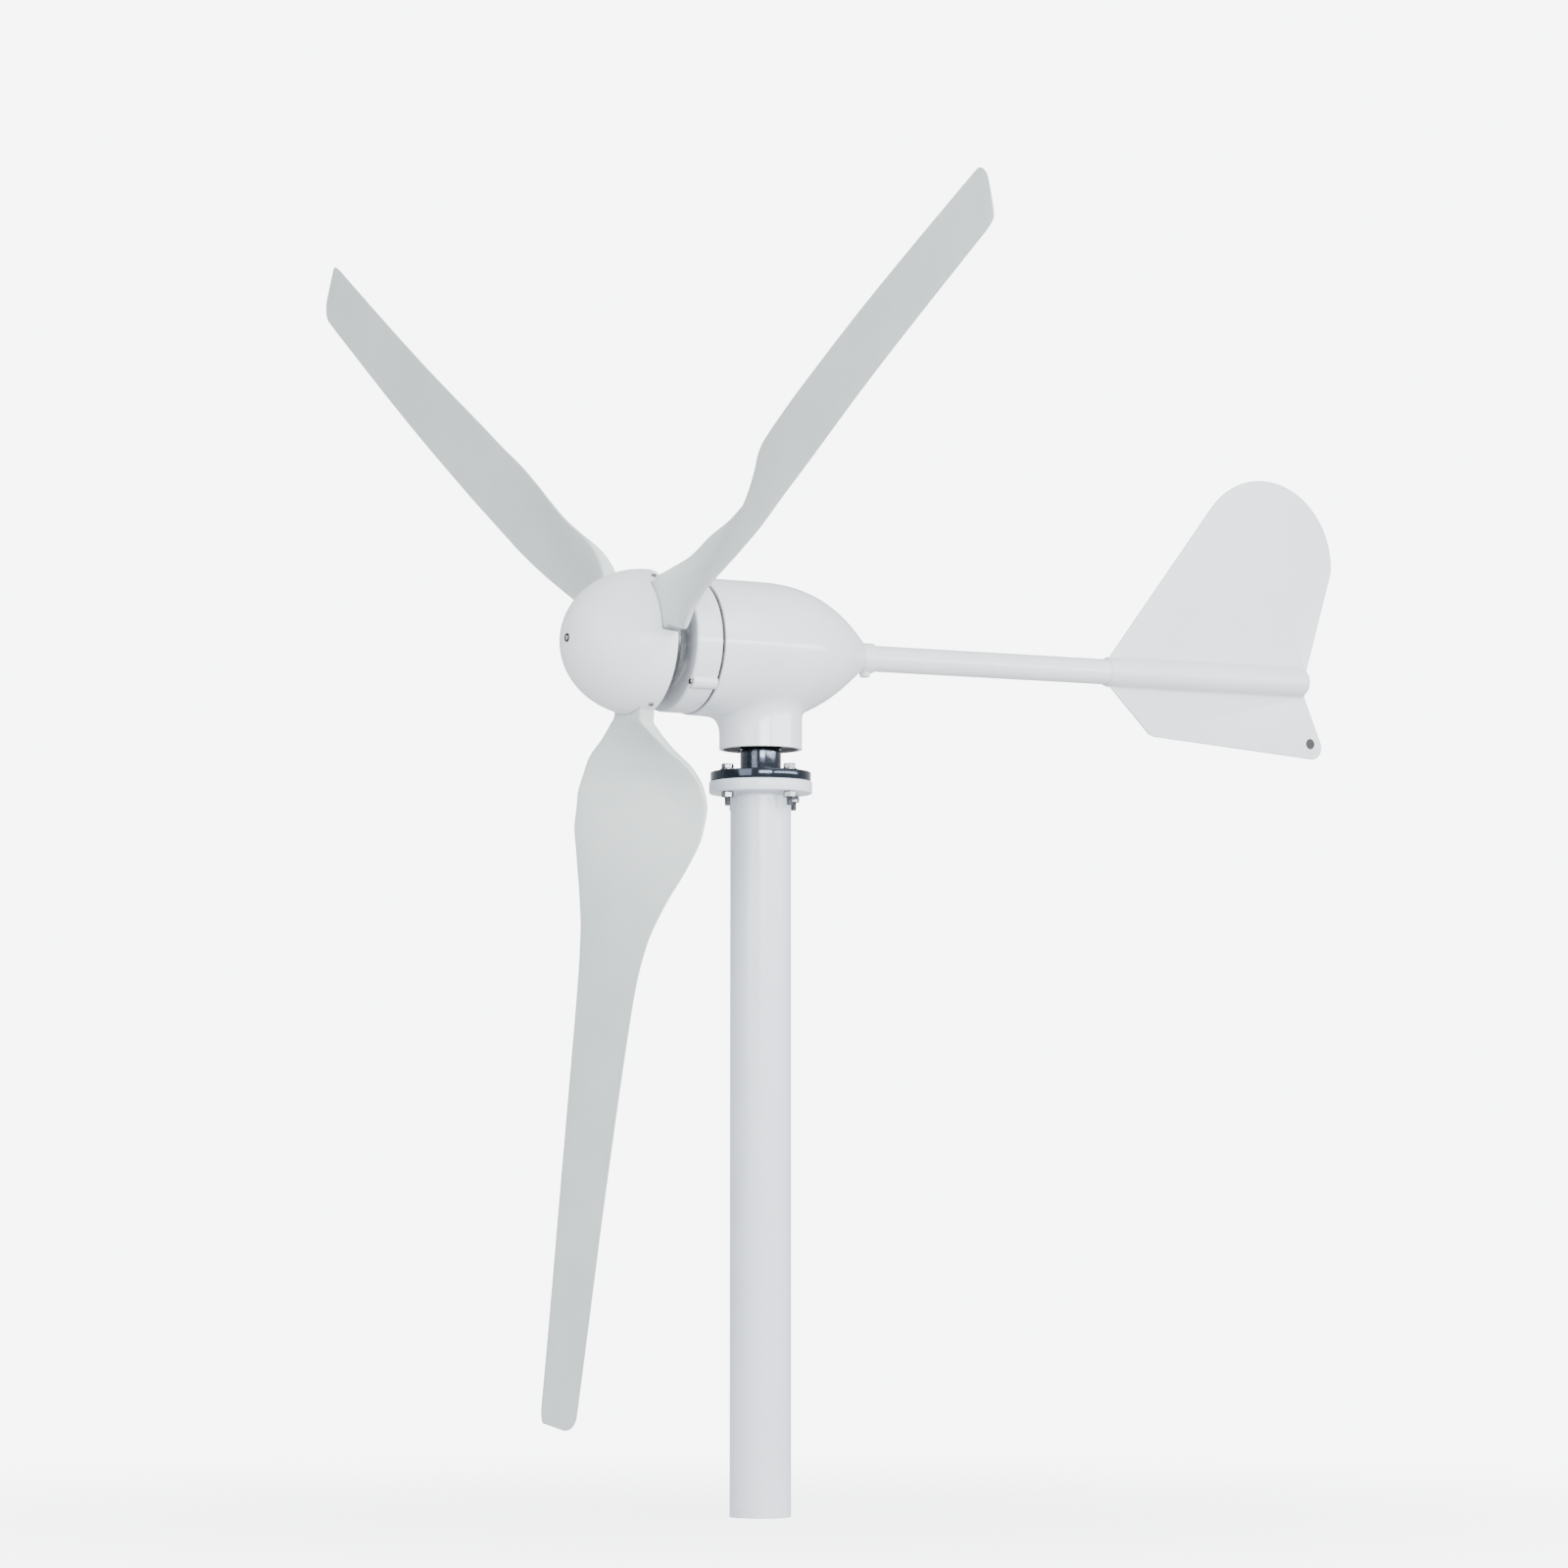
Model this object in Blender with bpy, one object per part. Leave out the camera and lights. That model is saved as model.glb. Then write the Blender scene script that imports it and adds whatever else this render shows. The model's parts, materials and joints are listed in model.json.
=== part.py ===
"""Small wind turbine: mast and yaw base, generator head with tail vane, and three-bladed rotor.

Metres, +Z up. The origin is the centre of the mast's foot. The nose points along -Y and the tail
along +Y. The head turns about Z on the mast; the rotor turns about the Y line at AXIS_HEIGHT.
"""
import math

import bmesh
import bpy
from mathutils import Matrix, Vector

# ------------------------------------------------------------------ driving dimensions
GAP = 0.0003                  # clearance between pieces that touch
AXIS_HEIGHT = 0.849           # rotor axis above the foot
BLADE_COUNT = 3
BLADE_START = math.radians(9.3)

MAST_R, MAST_WALL = 0.030, 0.003
FLANGE_R, FLANGE_THICK = 0.051, 0.012
YAW_FLANGE_R, YAW_FLANGE_THICK = 0.0497, 0.009
FLANGE_TOP = AXIS_HEIGHT - 0.130
FLANGE_BOLT_PCR = 0.043       # pitch circle radius of the flange bolts
FLANGE_BOLT_START = math.radians(10.7)
STUB_R, JOURNAL_R, THREAD_R, CABLE_BORE_R = 0.02025, 0.0175, 0.0125, 0.0080

NECK_R = 0.0412
NECK_BOTTOM = AXIS_HEIGHT - 0.0982
HOUSING_R = 0.0687
HOUSING_WALL = 0.0040
SEAM_Y, SEAM_GAP = -0.0780, 0.0012
HOUSING_END_Y = 0.1130
TAPER_START, TAPER_END_Y, TAPER_END_R = -0.0037, 0.1138, 0.0160
TAPER_POWER, TAPER_BEND = 2.27, 1.083
COVER_FRONT_Y, COVER_R = -0.1087, 0.0663

PLANE_Y = -0.1368             # rotor plane
FOOT_WIDTH, FOOT_THICK, FOOT_END = 0.054, 0.018, 0.074
FOOT_IN = 0.024               # radius of the foot's inner end
FOOT_U, FOOT_W = -0.008, 0.004
HUB_R = 0.061
BLADE_BOLT_RADII = (0.036, 0.054)

NOSE_RIM_Y, NOSE_TIP_Y, NOSE_R, NOSE_WALL = -0.1340, -0.2170, 0.0722, 0.0024
NOTCH_HALF, NOTCH_Y = 0.0283, -0.1508

BOOM_R, BOOM_WALL = 0.0131, 0.0020
BOOM_START, BOOM_END = 0.098, 0.6600
TAIL_PIVOT_Y, TAIL_RISE = 0.098, math.radians(0.7)
VANE_THICK = 0.0030
RIDGE_R = 0.0152

TURN_LARGE, TURN_MEDIUM, TURN_SMALL = 32, 20, 12


# ------------------------------------------------------------------ helpers
def clear_scene():
    for item in list(bpy.data.objects):
        bpy.data.objects.remove(item, do_unlink=True)


def material(name, colour, roughness, metallic):
    mat = bpy.data.materials.new(name)
    mat.use_nodes = True
    shader = mat.node_tree.nodes["Principled BSDF"]
    shader.inputs["Base Color"].default_value = (*colour, 1.0)
    shader.inputs["Roughness"].default_value = roughness
    shader.inputs["Metallic"].default_value = metallic
    mat.diffuse_color = (*colour, 1.0)
    return mat


def empty(name, location, rotation=(0, 0, 0), parent=None):
    holder = bpy.data.objects.new(name, None)
    bpy.context.scene.collection.objects.link(holder)
    holder.parent = parent
    holder.location = location
    holder.rotation_euler = rotation
    return holder


def place(name, bm, mat, parent, location=(0, 0, 0), rotation=(0, 0, 0), crease=35):
    """Turn a bmesh into a named object under its parent."""
    bmesh.ops.recalc_face_normals(bm, faces=bm.faces)
    mesh = bpy.data.meshes.new(name)
    bm.to_mesh(mesh)
    bm.free()
    mesh.shade_smooth()
    mesh.set_sharp_from_angle(angle=math.radians(crease))
    item = bpy.data.objects.new(name, mesh)
    bpy.context.scene.collection.objects.link(item)
    if mat:
        mesh.materials.append(mat)
    item.parent = parent
    item.location = location
    item.rotation_euler = rotation
    return item


def guide(item):
    item.hide_render = True
    item.display_type = "WIRE"
    return item


def boolean(item, cutter, operation="DIFFERENCE"):
    mod = item.modifiers.new(operation.lower(), "BOOLEAN")
    mod.operation = operation
    mod.object = guide(cutter)
    return item


def hex_factor(angle):
    """How far a hexagon of unit half-width reaches at an angle, corners at 30 degrees."""
    return 1.0 / math.cos((angle + math.pi / 6) % (math.pi / 3) - math.pi / 6)


def turned(profile, segments, closed=False, centre=(0, 0)):
    """Revolve (radius, height) points about Z. A radius given as ("hex", r) makes six flats."""
    bm = bmesh.new()
    rings = []
    for radius, height in profile:
        flats = isinstance(radius, tuple)
        size = radius[1] if flats else radius
        if size == 0:
            rings.append([bm.verts.new((centre[0], centre[1], height))])
            continue
        ring = []
        for step in range(segments):
            angle = math.tau * step / segments
            reach = size * hex_factor(angle) if flats else size
            ring.append(bm.verts.new((centre[0] + reach * math.cos(angle),
                                      centre[1] + reach * math.sin(angle), height)))
        rings.append(ring)
    pairs = list(zip(rings, rings[1:]))
    if closed:
        pairs.append((rings[-1], rings[0]))
    for low, high in pairs:
        bridge(bm, low, high)
    if not closed:
        for ring in (rings[0], rings[-1]):
            if len(ring) > 1:
                bm.faces.new(ring)
    return bm


def bridge(bm, low, high):
    """Join two closed loops of equal length, or a loop and a single point."""
    count = max(len(low), len(high))
    for step in range(count):
        after = (step + 1) % count
        corners = [low[step % len(low)], low[after % len(low)], high[after % len(high)], high[step % len(high)]]
        unique = list(dict.fromkeys(corners))
        bm.faces.new(unique)


def extruded(outline, low, high, hole=None):
    """Extrude an outline in XY from one height to another, with an optional hole of as many points."""
    bm = bmesh.new()
    loops = [[bm.verts.new((x, y, z)) for x, y in outline] for z in (low, high)]
    bridge(bm, loops[0], loops[1])
    if hole is None:
        bm.faces.new(loops[0])
        bm.faces.new(loops[1])
        return bm
    inner = [[bm.verts.new((x, y, z)) for x, y in hole] for z in (low, high)]
    bridge(bm, inner[0], inner[1])
    for outside, inside in zip(loops, inner):
        bridge(bm, outside, inside)
    return bm


def block(size, centre):
    bm = bmesh.new()
    shape = Matrix.Translation(centre) @ Matrix.Diagonal((*size, 1.0))
    bmesh.ops.create_cube(bm, size=1.0, matrix=shape)
    return bm


def merged(shapes):
    """Several separate bmeshes in one."""
    whole = bmesh.new()
    for bm in shapes:
        mesh = bpy.data.meshes.new("part")
        bm.to_mesh(mesh)
        bm.free()
        whole.from_mesh(mesh)
        bpy.data.meshes.remove(mesh)
    return whole


def rod(radius, low, high, centre=(0, 0), segments=12):
    return turned([(radius, low), (radius, high)], segments, centre=centre)


def arc_points(centre, radius, start, end, steps):
    """Points of an arc, angles in degrees."""
    points = []
    for step in range(steps + 1):
        angle = math.radians(start + (end - start) * step / steps)
        points.append((centre[0] + radius * math.cos(angle), centre[1] + radius * math.sin(angle)))
    return points


def polar(radius, angle):
    return radius * math.cos(angle), radius * math.sin(angle)


# ------------------------------------------------------------------ bearings
def race(inner, outer, low, high, groove, groove_outside):
    """A bearing ring: a rectangle with a shallow groove on one side."""
    middle, half = (low + high) / 2, (high - low) * 0.26
    side, sign = (outer, -1) if groove_outside else (inner, 1)
    bottom = side + sign * groove
    cut = [(side, middle - half), (bottom, middle - half / 2), (bottom, middle + half / 2),
           (side, middle + half)]
    if groove_outside:
        profile = [(inner, low), (outer, low), *cut, (outer, high), (inner, high)]
    else:
        profile = [(outer, low), (outer, high), (inner, high), *reversed(cut), (inner, low)]
    return turned(profile, TURN_MEDIUM, closed=True)


def ball_set(pitch, ball, cage, count, height):
    """Balls joined by the cage bar that spaces them: one closed ring that swells at each ball."""
    bm = bmesh.new()
    steps, sides = 4, 6
    loops = []
    for index in range(count * steps):
        angle = math.tau * index / (count * steps)
        along = ((index % steps) / steps - 0.5) * math.tau / count * pitch
        inside = ball * ball - along * along
        radius = max(cage, math.sqrt(inside) if inside > 0 else 0)
        loop = []
        for side in range(sides):
            turn = math.tau * side / sides
            reach = pitch + radius * math.cos(turn)
            loop.append(bm.verts.new((reach * math.cos(angle), reach * math.sin(angle),
                                      height + radius * math.sin(turn))))
        loops.append(loop)
    for index, loop in enumerate(loops):
        bridge(bm, loop, loops[(index + 1) % len(loops)])
    return bm


def bearing(names, sizes, low, high, mats, parents):
    """Inner ring, outer ring and balls. sizes: bore, inner outside, outer inside, outside radius."""
    bore, inner_out, outer_in, outside = sizes
    steel, bright = mats
    groove = (outer_in - inner_out) * 0.22
    place(names[0], race(bore, inner_out, low, high, groove, True), steel, parents[0])
    place(names[1], race(outer_in, outside, low, high, groove, False), steel, parents[1])
    pitch = (inner_out + outer_in) / 2
    ball = (outer_in - inner_out) / 2 + groove - 2 * GAP
    place(names[2], ball_set(pitch, ball, ball * 0.35, 9, (low + high) / 2), bright, parents[2])


# ------------------------------------------------------------------ mast and yaw base
def build_mast(mats, root):
    place("mast_tube", turned([(MAST_R, 0), (MAST_R, FLANGE_TOP - GAP), (MAST_R - MAST_WALL, FLANGE_TOP - GAP),
                               (MAST_R - MAST_WALL, 0)], TURN_LARGE, closed=True), mats["white"], root)
    holes = [rod(0.0036, -0.20, 0.02, polar(FLANGE_BOLT_PCR, FLANGE_BOLT_START + k * math.pi / 2)) for k in range(4)]
    hole_guide = place("flange_holes", merged(holes), None, root, (0, 0, AXIS_HEIGHT - 0.05))
    low, edge = FLANGE_TOP - FLANGE_THICK, 0.002
    bore = MAST_R + GAP
    flange = turned([(bore, low), (FLANGE_R - edge, low), (FLANGE_R, low + edge),
                     (FLANGE_R, FLANGE_TOP - edge), (FLANGE_R - edge, FLANGE_TOP), (bore, FLANGE_TOP)],
                    TURN_LARGE, closed=True)
    boolean(place("mast_flange", flange, mats["white"], root), hole_guide)

    base, top = FLANGE_TOP + 0.0005, FLANGE_TOP + 0.0005 + YAW_FLANGE_THICK
    shoulder, chamfer = NECK_BOTTOM + 0.0030, 0.0015
    journal_top, thread_top = AXIS_HEIGHT - 0.0642, AXIS_HEIGHT - 0.0530
    profile = [(CABLE_BORE_R, base), (YAW_FLANGE_R - chamfer, base), (YAW_FLANGE_R, base + chamfer),
               (YAW_FLANGE_R, top - chamfer), (YAW_FLANGE_R - chamfer, top), (STUB_R + 0.002, top),
               (STUB_R, top + 0.002), (STUB_R, shoulder), (JOURNAL_R, shoulder), (JOURNAL_R, journal_top),
               (THREAD_R, journal_top), (THREAD_R, thread_top), (CABLE_BORE_R, thread_top)]
    boolean(place("yaw_base", turned(profile, TURN_LARGE, closed=True), mats["dark_steel"], root), hole_guide)

    head, nut, thread_end = 0.0053, 0.0058, 0.0140
    for k in range(4):
        x, y = polar(FLANGE_BOLT_PCR, FLANGE_BOLT_START + k * math.pi / 2)
        bolt = turned([(0, low - thread_end), (0.0030, low - thread_end), (0.0030, top + GAP),
                       (("hex", 0.0050), top + GAP), (("hex", 0.0050), top + GAP + head), (0, top + GAP + head)], 12)
        place(f"flange_bolt_{k + 1}", bolt, mats["zinc"], root, (x, y, 0))
        ring = turned([(0.0034, low - GAP - nut), (("hex", 0.0050), low - GAP - nut),
                       (("hex", 0.0050), low - GAP), (0.0034, low - GAP)], 12, closed=True)
        place(f"flange_nut_{k + 1}", ring, mats["zinc"], root, (x, y, 0))

    nut_bore, nut_low, nut_top = THREAD_R + 0.0008, journal_top + GAP, journal_top + 0.0083
    yaw_nut = turned([(nut_bore, nut_low), (("hex", 0.0170), nut_low), (("hex", 0.0170), nut_top),
                      (nut_bore, nut_top)], 12, closed=True)
    place("yaw_nut", yaw_nut, mats["zinc"], root)

    core_low, core_r, ring_r = thread_top + GAP, 0.0105, 0.0135
    core = turned([(0.0040, core_low), (core_r, core_low), (core_r, core_low + 0.032), (0.0040, core_low + 0.032)],
                  16, closed=True)
    place("slip_ring_core", core, mats["black"], root)
    for k in range(3):
        height = slip_ring_height(k)
        ring = turned([(core_r + GAP, height - 0.002), (ring_r, height - 0.002), (ring_r, height + 0.002),
                       (core_r + GAP, height + 0.002)], 16, closed=True)
        place(f"slip_ring_{k + 1}", ring, mats["copper"], root)


def slip_ring_height(index):
    return AXIS_HEIGHT - 0.0470 + 0.0090 * index


# ------------------------------------------------------------------ head: housing, cover and tail
def housing_radius(y):
    """Outer radius of the bullet: full behind the seam, then tapering to the tail end."""
    if y <= TAPER_START:
        return HOUSING_R - 0.0006 * ((TAPER_START - y) / (TAPER_START - SEAM_Y)) ** 2
    return TAPER_END_R + (HOUSING_R - TAPER_END_R) * (1 - taper_part(y) ** TAPER_POWER) ** TAPER_BEND


def taper_part(y):
    return min(max((y - TAPER_START) / (TAPER_END_Y - TAPER_START), 0.0), 1.0)


def housing_rise(y):
    """How far the bullet's middle lies above the rotor axis: it lifts a little towards the tail."""
    part = taper_part(y)
    return 0.0035 * part ** 2 * (1 - 0.6 * part ** 6)


def bullet(front, back, shrink, steps):
    """A closed bullet that follows the housing's outline, drawn in by shrink."""
    heights = [front + (back - front) * step / steps for step in range(steps + 1)]
    radii = [max(housing_radius(y) - shrink, 0.004) for y in heights]
    shape = turned([(0, front), *zip(radii, heights), (0, back)], TURN_LARGE)
    for vert in shape.verts:
        vert.co.y -= housing_rise(vert.co.z)
    return shape


def neck_shape():
    """The neck: a cylinder whose front side flares forward as it rises into the housing."""
    bm = bmesh.new()
    rings = []
    rise, flare = 0.040, 0.0165
    levels = [(0.0, NECK_R - 0.001), (0.001, NECK_R), (0.008, NECK_R)]
    for step in range(1, 7):
        part = step / 6
        levels.append((0.008 + (rise - 0.008) * part, NECK_R + flare * (1 - math.sqrt(1 - part * part)) * 0.9))
    levels.append((0.062, NECK_R + flare * 0.9))
    for height, radius in levels:
        centre_y = (NECK_R - radius) * 0.85
        ring = []
        for step in range(TURN_LARGE):
            x, y = polar(radius, math.tau * step / TURN_LARGE)
            ring.append(bm.verts.new((x, y + centre_y, NECK_BOTTOM + height)))
        rings.append(ring)
    for low, high in zip(rings, rings[1:]):
        bridge(bm, low, high)
    bm.faces.new(rings[0])
    bm.faces.new(rings[-1])
    return bm


def build_housing(mats, head, axis, tail):
    web_front, web_back, boss_back = -0.0375, -0.0335, -0.0285
    shell = place("nacelle_housing", bullet(SEAM_Y, HOUSING_END_Y, 0, 14), mats["white"], axis)
    boolean(shell, place("neck_guide", neck_shape(), None, head), "UNION")
    front_r = HOUSING_R - 0.0005 - HOUSING_WALL
    front_cavity = rod(front_r, SEAM_Y - 0.01, web_front, segments=TURN_LARGE)
    boolean(shell, place("front_cavity", front_cavity, None, axis))
    rear = boolean(place("rear_cavity", bullet(web_back, 0.100, 0.0040, 6), None, axis),
                   place("boss_guide", rod(0.019, web_back - 0.01, boss_back, segments=TURN_MEDIUM), None, axis))
    boolean(shell, rear)
    boolean(shell, place("bearing_seat", rod(0.0143, web_front - 0.002, boss_back + 0.002,
                                             segments=TURN_MEDIUM), None, axis))
    bearing_top = AXIS_HEIGHT - 0.0762
    seats = [(0, NECK_BOTTOM - 0.01), (0.0360 + GAP, NECK_BOTTOM - 0.01), (0.0360 + GAP, bearing_top),
             (0.0228, bearing_top), (0.0228, AXIS_HEIGHT - 0.0500), (0, AXIS_HEIGHT - 0.0500)]
    boolean(shell, place("neck_bore", turned(seats, TURN_LARGE), None, head))
    boolean(shell, place("boom_hole", rod(BOOM_R + GAP, -0.02, 0.03, segments=TURN_MEDIUM), None, tail))
    boolean(shell, place("housing_screw_holes", merged([rod(0.0014, SEAM_Y - 0.002, SEAM_Y + 0.012,
                                                            polar(COVER_SCREW_R, a), 8) for a in cover_angles()]),
                         None, axis))

    low = AXIS_HEIGHT - 0.0754
    running = JOURNAL_R + 0.0006
    bush = turned([(running, low), (0.0225, low), (0.0225, low + 0.0095), (running, low + 0.0095)],
                  TURN_MEDIUM, closed=True)
    place("yaw_bush", bush, mats["bronze"], head)

    holder_y, holder_low, holder_top = 0.0265, AXIS_HEIGHT - 0.0555, AXIS_HEIGHT - 0.0240
    place("brush_holder", block((0.016, 0.0080, holder_top - holder_low),
                                (0, holder_y, (holder_top + holder_low) / 2)), mats["black"], head)
    for k in range(3):
        start, end = 0.0135 + GAP, holder_y - 0.004 - GAP
        place(f"brush_{k + 1}", block((0.004, end - start, 0.0036), (0, (start + end) / 2, slip_ring_height(k))),
              mats["carbon"], head)


COVER_SCREW_R = 0.0659


def cover_angles():
    """Three screw bosses round the front cover, in the head's own axis frame."""
    return [math.radians(39 + 120 * k) for k in range(3)]


def build_cover(mats, axis):
    back = SEAM_Y - SEAM_GAP
    skirt_in, spigot_out, spigot_back = 0.0603, 0.0636, -0.0500
    edge = 0.0030
    plate_back = COVER_FRONT_Y + 0.0042
    rounded = arc_points((COVER_R - edge, COVER_FRONT_Y + edge), edge, -90, 0, 4)
    profile = [(0.0135, COVER_FRONT_Y), *rounded, (COVER_R, back), (spigot_out, back), (spigot_out, spigot_back),
               (skirt_in, spigot_back), (skirt_in, plate_back), (0.0240, plate_back), (0.0240, -0.0920),
               (0.0178, -0.0920), (0.0178, -0.1033), (0.0135, -0.1033)]
    cover = place("front_cover", turned(profile, TURN_LARGE, closed=True), mats["white"], axis)
    bosses = [rod(0.0057, COVER_FRONT_Y + 0.0012, back, polar(0.0652, a), 12) for a in cover_angles()]
    inside = rod(spigot_out - 0.0006, -0.12, -0.04, segments=TURN_LARGE)
    boss_guide = boolean(place("cover_bosses", merged(bosses), None, axis),
                         place("cover_inside", inside, None, axis))
    boolean(cover, boss_guide, "UNION")
    seat = COVER_FRONT_Y + 0.0012
    bore = [(0, -0.12), (0.0031, -0.12), (0.0031, seat), (0.0014, seat), (0.0014, back + 0.01), (0, back + 0.01)]
    holes = [turned(bore, 12, centre=polar(COVER_SCREW_R, a)) for a in cover_angles()]
    boolean(cover, place("cover_holes", merged(holes), None, axis))
    head_low = seat - GAP - 0.0018
    for k, angle in enumerate(cover_angles()):
        x, y = polar(COVER_SCREW_R, angle)
        screw = turned([(0, head_low), (0.0020, head_low), (0.0027, head_low + 0.0008), (0.0027, head_low + 0.0018),
                        (0.0011, head_low + 0.0018), (0.0011, SEAM_Y + 0.010), (0, SEAM_Y + 0.010)], 12)
        place(f"front_cover_screw_{k + 1}", screw, mats["zinc"], axis, (x, y, 0))


VANE_OUTLINE_LOW = ((0.416, -0.0140), (0.467, -0.0650))


def vane_outline():
    """The vane's edge in tail coordinates: (distance behind the origin, height above the boom)."""
    fin = arc_points((0.6180, 0.1260), 0.0865, 139, -4, 12)
    lower_tip = arc_points((0.6740, -0.0682), 0.0130, 24, -85, 5)
    return [(0.416, 0.0140), *fin, (0.6700, 0.0150), (0.6660, -0.0160), *lower_tip, *reversed(VANE_OUTLINE_LOW)]


def build_tail(mats, tail, axis_y=TAIL_PIVOT_Y):
    """Boom, its socket and the vane, drawn along the tail's own slightly rising line."""
    socket_front, socket_back = HOUSING_END_Y - axis_y + 0.0006, 0.129 - axis_y
    socket = turned([(BOOM_R + GAP, socket_front), (0.0150, socket_front), (0.0152, socket_front + 0.002),
                     (0.0150, socket_back - 0.002), (0.0142, socket_back), (BOOM_R + GAP, socket_back)],
                    TURN_MEDIUM, closed=True)
    socket = place("tail_socket", socket, mats["white"], tail)
    screw_at = 0.1205 - axis_y
    boss = place("set_screw_boss", rod(0.0054, 0.0139, 0.0192, segments=16), None, tail, (0, 0, screw_at),
                 (-math.pi / 2, 0, 0))
    boolean(socket, boss, "UNION")
    screw_hole = place("set_screw_hole", rod(0.0030, 0.0, 0.03, segments=12), None, tail, (0, 0, screw_at),
                       (-math.pi / 2, 0, 0))
    boolean(socket, screw_hole)
    screw = turned([(0, BOOM_R + GAP), (0.0026, BOOM_R + GAP), (0.0026, 0.0200), (0, 0.0200)], 12)
    place("boom_set_screw", screw, mats["zinc"], tail, (0, 0, screw_at), (-math.pi / 2, 0, 0))

    start, end = BOOM_START - axis_y, BOOM_END - axis_y
    inner = BOOM_R - BOOM_WALL
    place("tail_boom", turned([(BOOM_R, start), (BOOM_R, end), (inner, end), (inner, start)], TURN_MEDIUM,
                              closed=True), mats["white"], tail)

    plate = extruded([(y - axis_y, z) for y, z in vane_outline()], -VANE_THICK / 2, VANE_THICK / 2)
    turn = Matrix(((0, 0, 1), (0, -1, 0), (1, 0, 0))).to_4x4()
    plate.transform(turn)
    vane = place("tail_vane", plate, mats["vane"], tail)
    ridge_start, ridge_end = 0.412 - axis_y, 0.6655 - axis_y
    nose = 0.006
    ridge = turned([(0, ridge_start), (RIDGE_R - 0.001, ridge_start), (RIDGE_R, ridge_start + 0.003),
                    (RIDGE_R, ridge_end - nose), (RIDGE_R - 0.002, ridge_end - nose / 3),
                    (RIDGE_R - 0.006, ridge_end), (0, ridge_end)], TURN_MEDIUM)
    boolean(vane, place("ridge_guide", ridge, None, tail), "UNION")
    boolean(vane, place("boom_pocket", rod(BOOM_R + GAP, ridge_start - 0.02, end + 2 * GAP, segments=TURN_MEDIUM),
                        None, tail))
    hole = place("tip_hole", rod(0.0040, -0.02, 0.02, segments=16), None, tail,
                 (0, 0.0650, 0.6715 - axis_y), (0, math.pi / 2, 0))
    boolean(vane, hole)


# ------------------------------------------------------------------ generator
def build_generator(mats, axis, rotor, front_balls, rear_balls):
    slots, core_r, bore_r, slot_r = 12, 0.0600, 0.0385, 0.0540
    stack_front, stack_back = -0.0940, -0.0505
    inner = []
    for k in range(slots):
        for part, radius in ((0.02, bore_r), (0.38, bore_r), (0.40, slot_r), (1.0, slot_r)):
            inner.append(polar(radius, math.tau * (k + part) / slots))
    outer = [polar(core_r, math.tau * (index + 0.3) / len(inner)) for index in range(len(inner))]
    place("stator_core", extruded(outer, stack_front, stack_back, inner), mats["lamination"], axis)

    bar_angles = [math.tau * (k + 0.70) / slots for k in range(slots)]
    bars = []
    for angle in bar_angles:
        bar = block((0.0105, 0.0080, stack_back - stack_front + 0.008), (0.0475, 0, (stack_front + stack_back) / 2))
        bar.transform(Matrix.Rotation(angle, 4, "Z"))
        bars.append(bar)
    end_rings = []
    for low, high in ((stack_front - 0.0092, stack_front - 0.0015), (stack_back + 0.0015, stack_back + 0.0092)):
        end_rings.append(turned([(0.0415, low), (0.0535, low), (0.0535, high), (0.0415, high)], TURN_LARGE, closed=True))
    winding = place("stator_winding", merged(end_rings), mats["copper"], axis)
    boolean(winding, place("winding_bars", merged(bars), None, axis), "UNION")

    poles = 8
    outline, bore = [], []
    for k in range(poles):
        for part, radius in ((0.06, 0.0368), (0.35, 0.0370), (0.65, 0.0370), (0.94, 0.0368), (0.97, 0.0345)):
            outline.append(polar(radius, math.tau * (k + part) / poles))
            bore.append(polar(0.0093, math.tau * (k + part) / poles))
    place("magnet_rotor", extruded(outline, -0.0905, -0.0520, bore), mats["magnet"], rotor)

    shaft = turned([(0, -0.1680), (0.0052, -0.1680), (0.0060, -0.1672), (0.0060, -0.1535), (0.0075, -0.1535),
                    (0.0075, -0.0915), (0.0090, -0.0915), (0.0090, -0.0412), (0.0060, -0.0412),
                    (0.0060, -0.0275), (0, -0.0275)], TURN_MEDIUM)
    place("rotor_shaft", shaft, mats["steel"], rotor)
    bearing(("front_bearing_inner", "front_bearing_outer", "front_bearing_balls"),
            (0.0078, 0.0108, 0.0145, 0.0175), -0.1030, -0.0925, (mats["steel"], mats["bright"]),
            (rotor, axis, front_balls))
    bearing(("rear_bearing_inner", "rear_bearing_outer", "rear_bearing_balls"),
            (0.0063, 0.0087, 0.0116, 0.0140), -0.0372, -0.0290, (mats["steel"], mats["bright"]),
            (rotor, axis, rear_balls))


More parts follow.
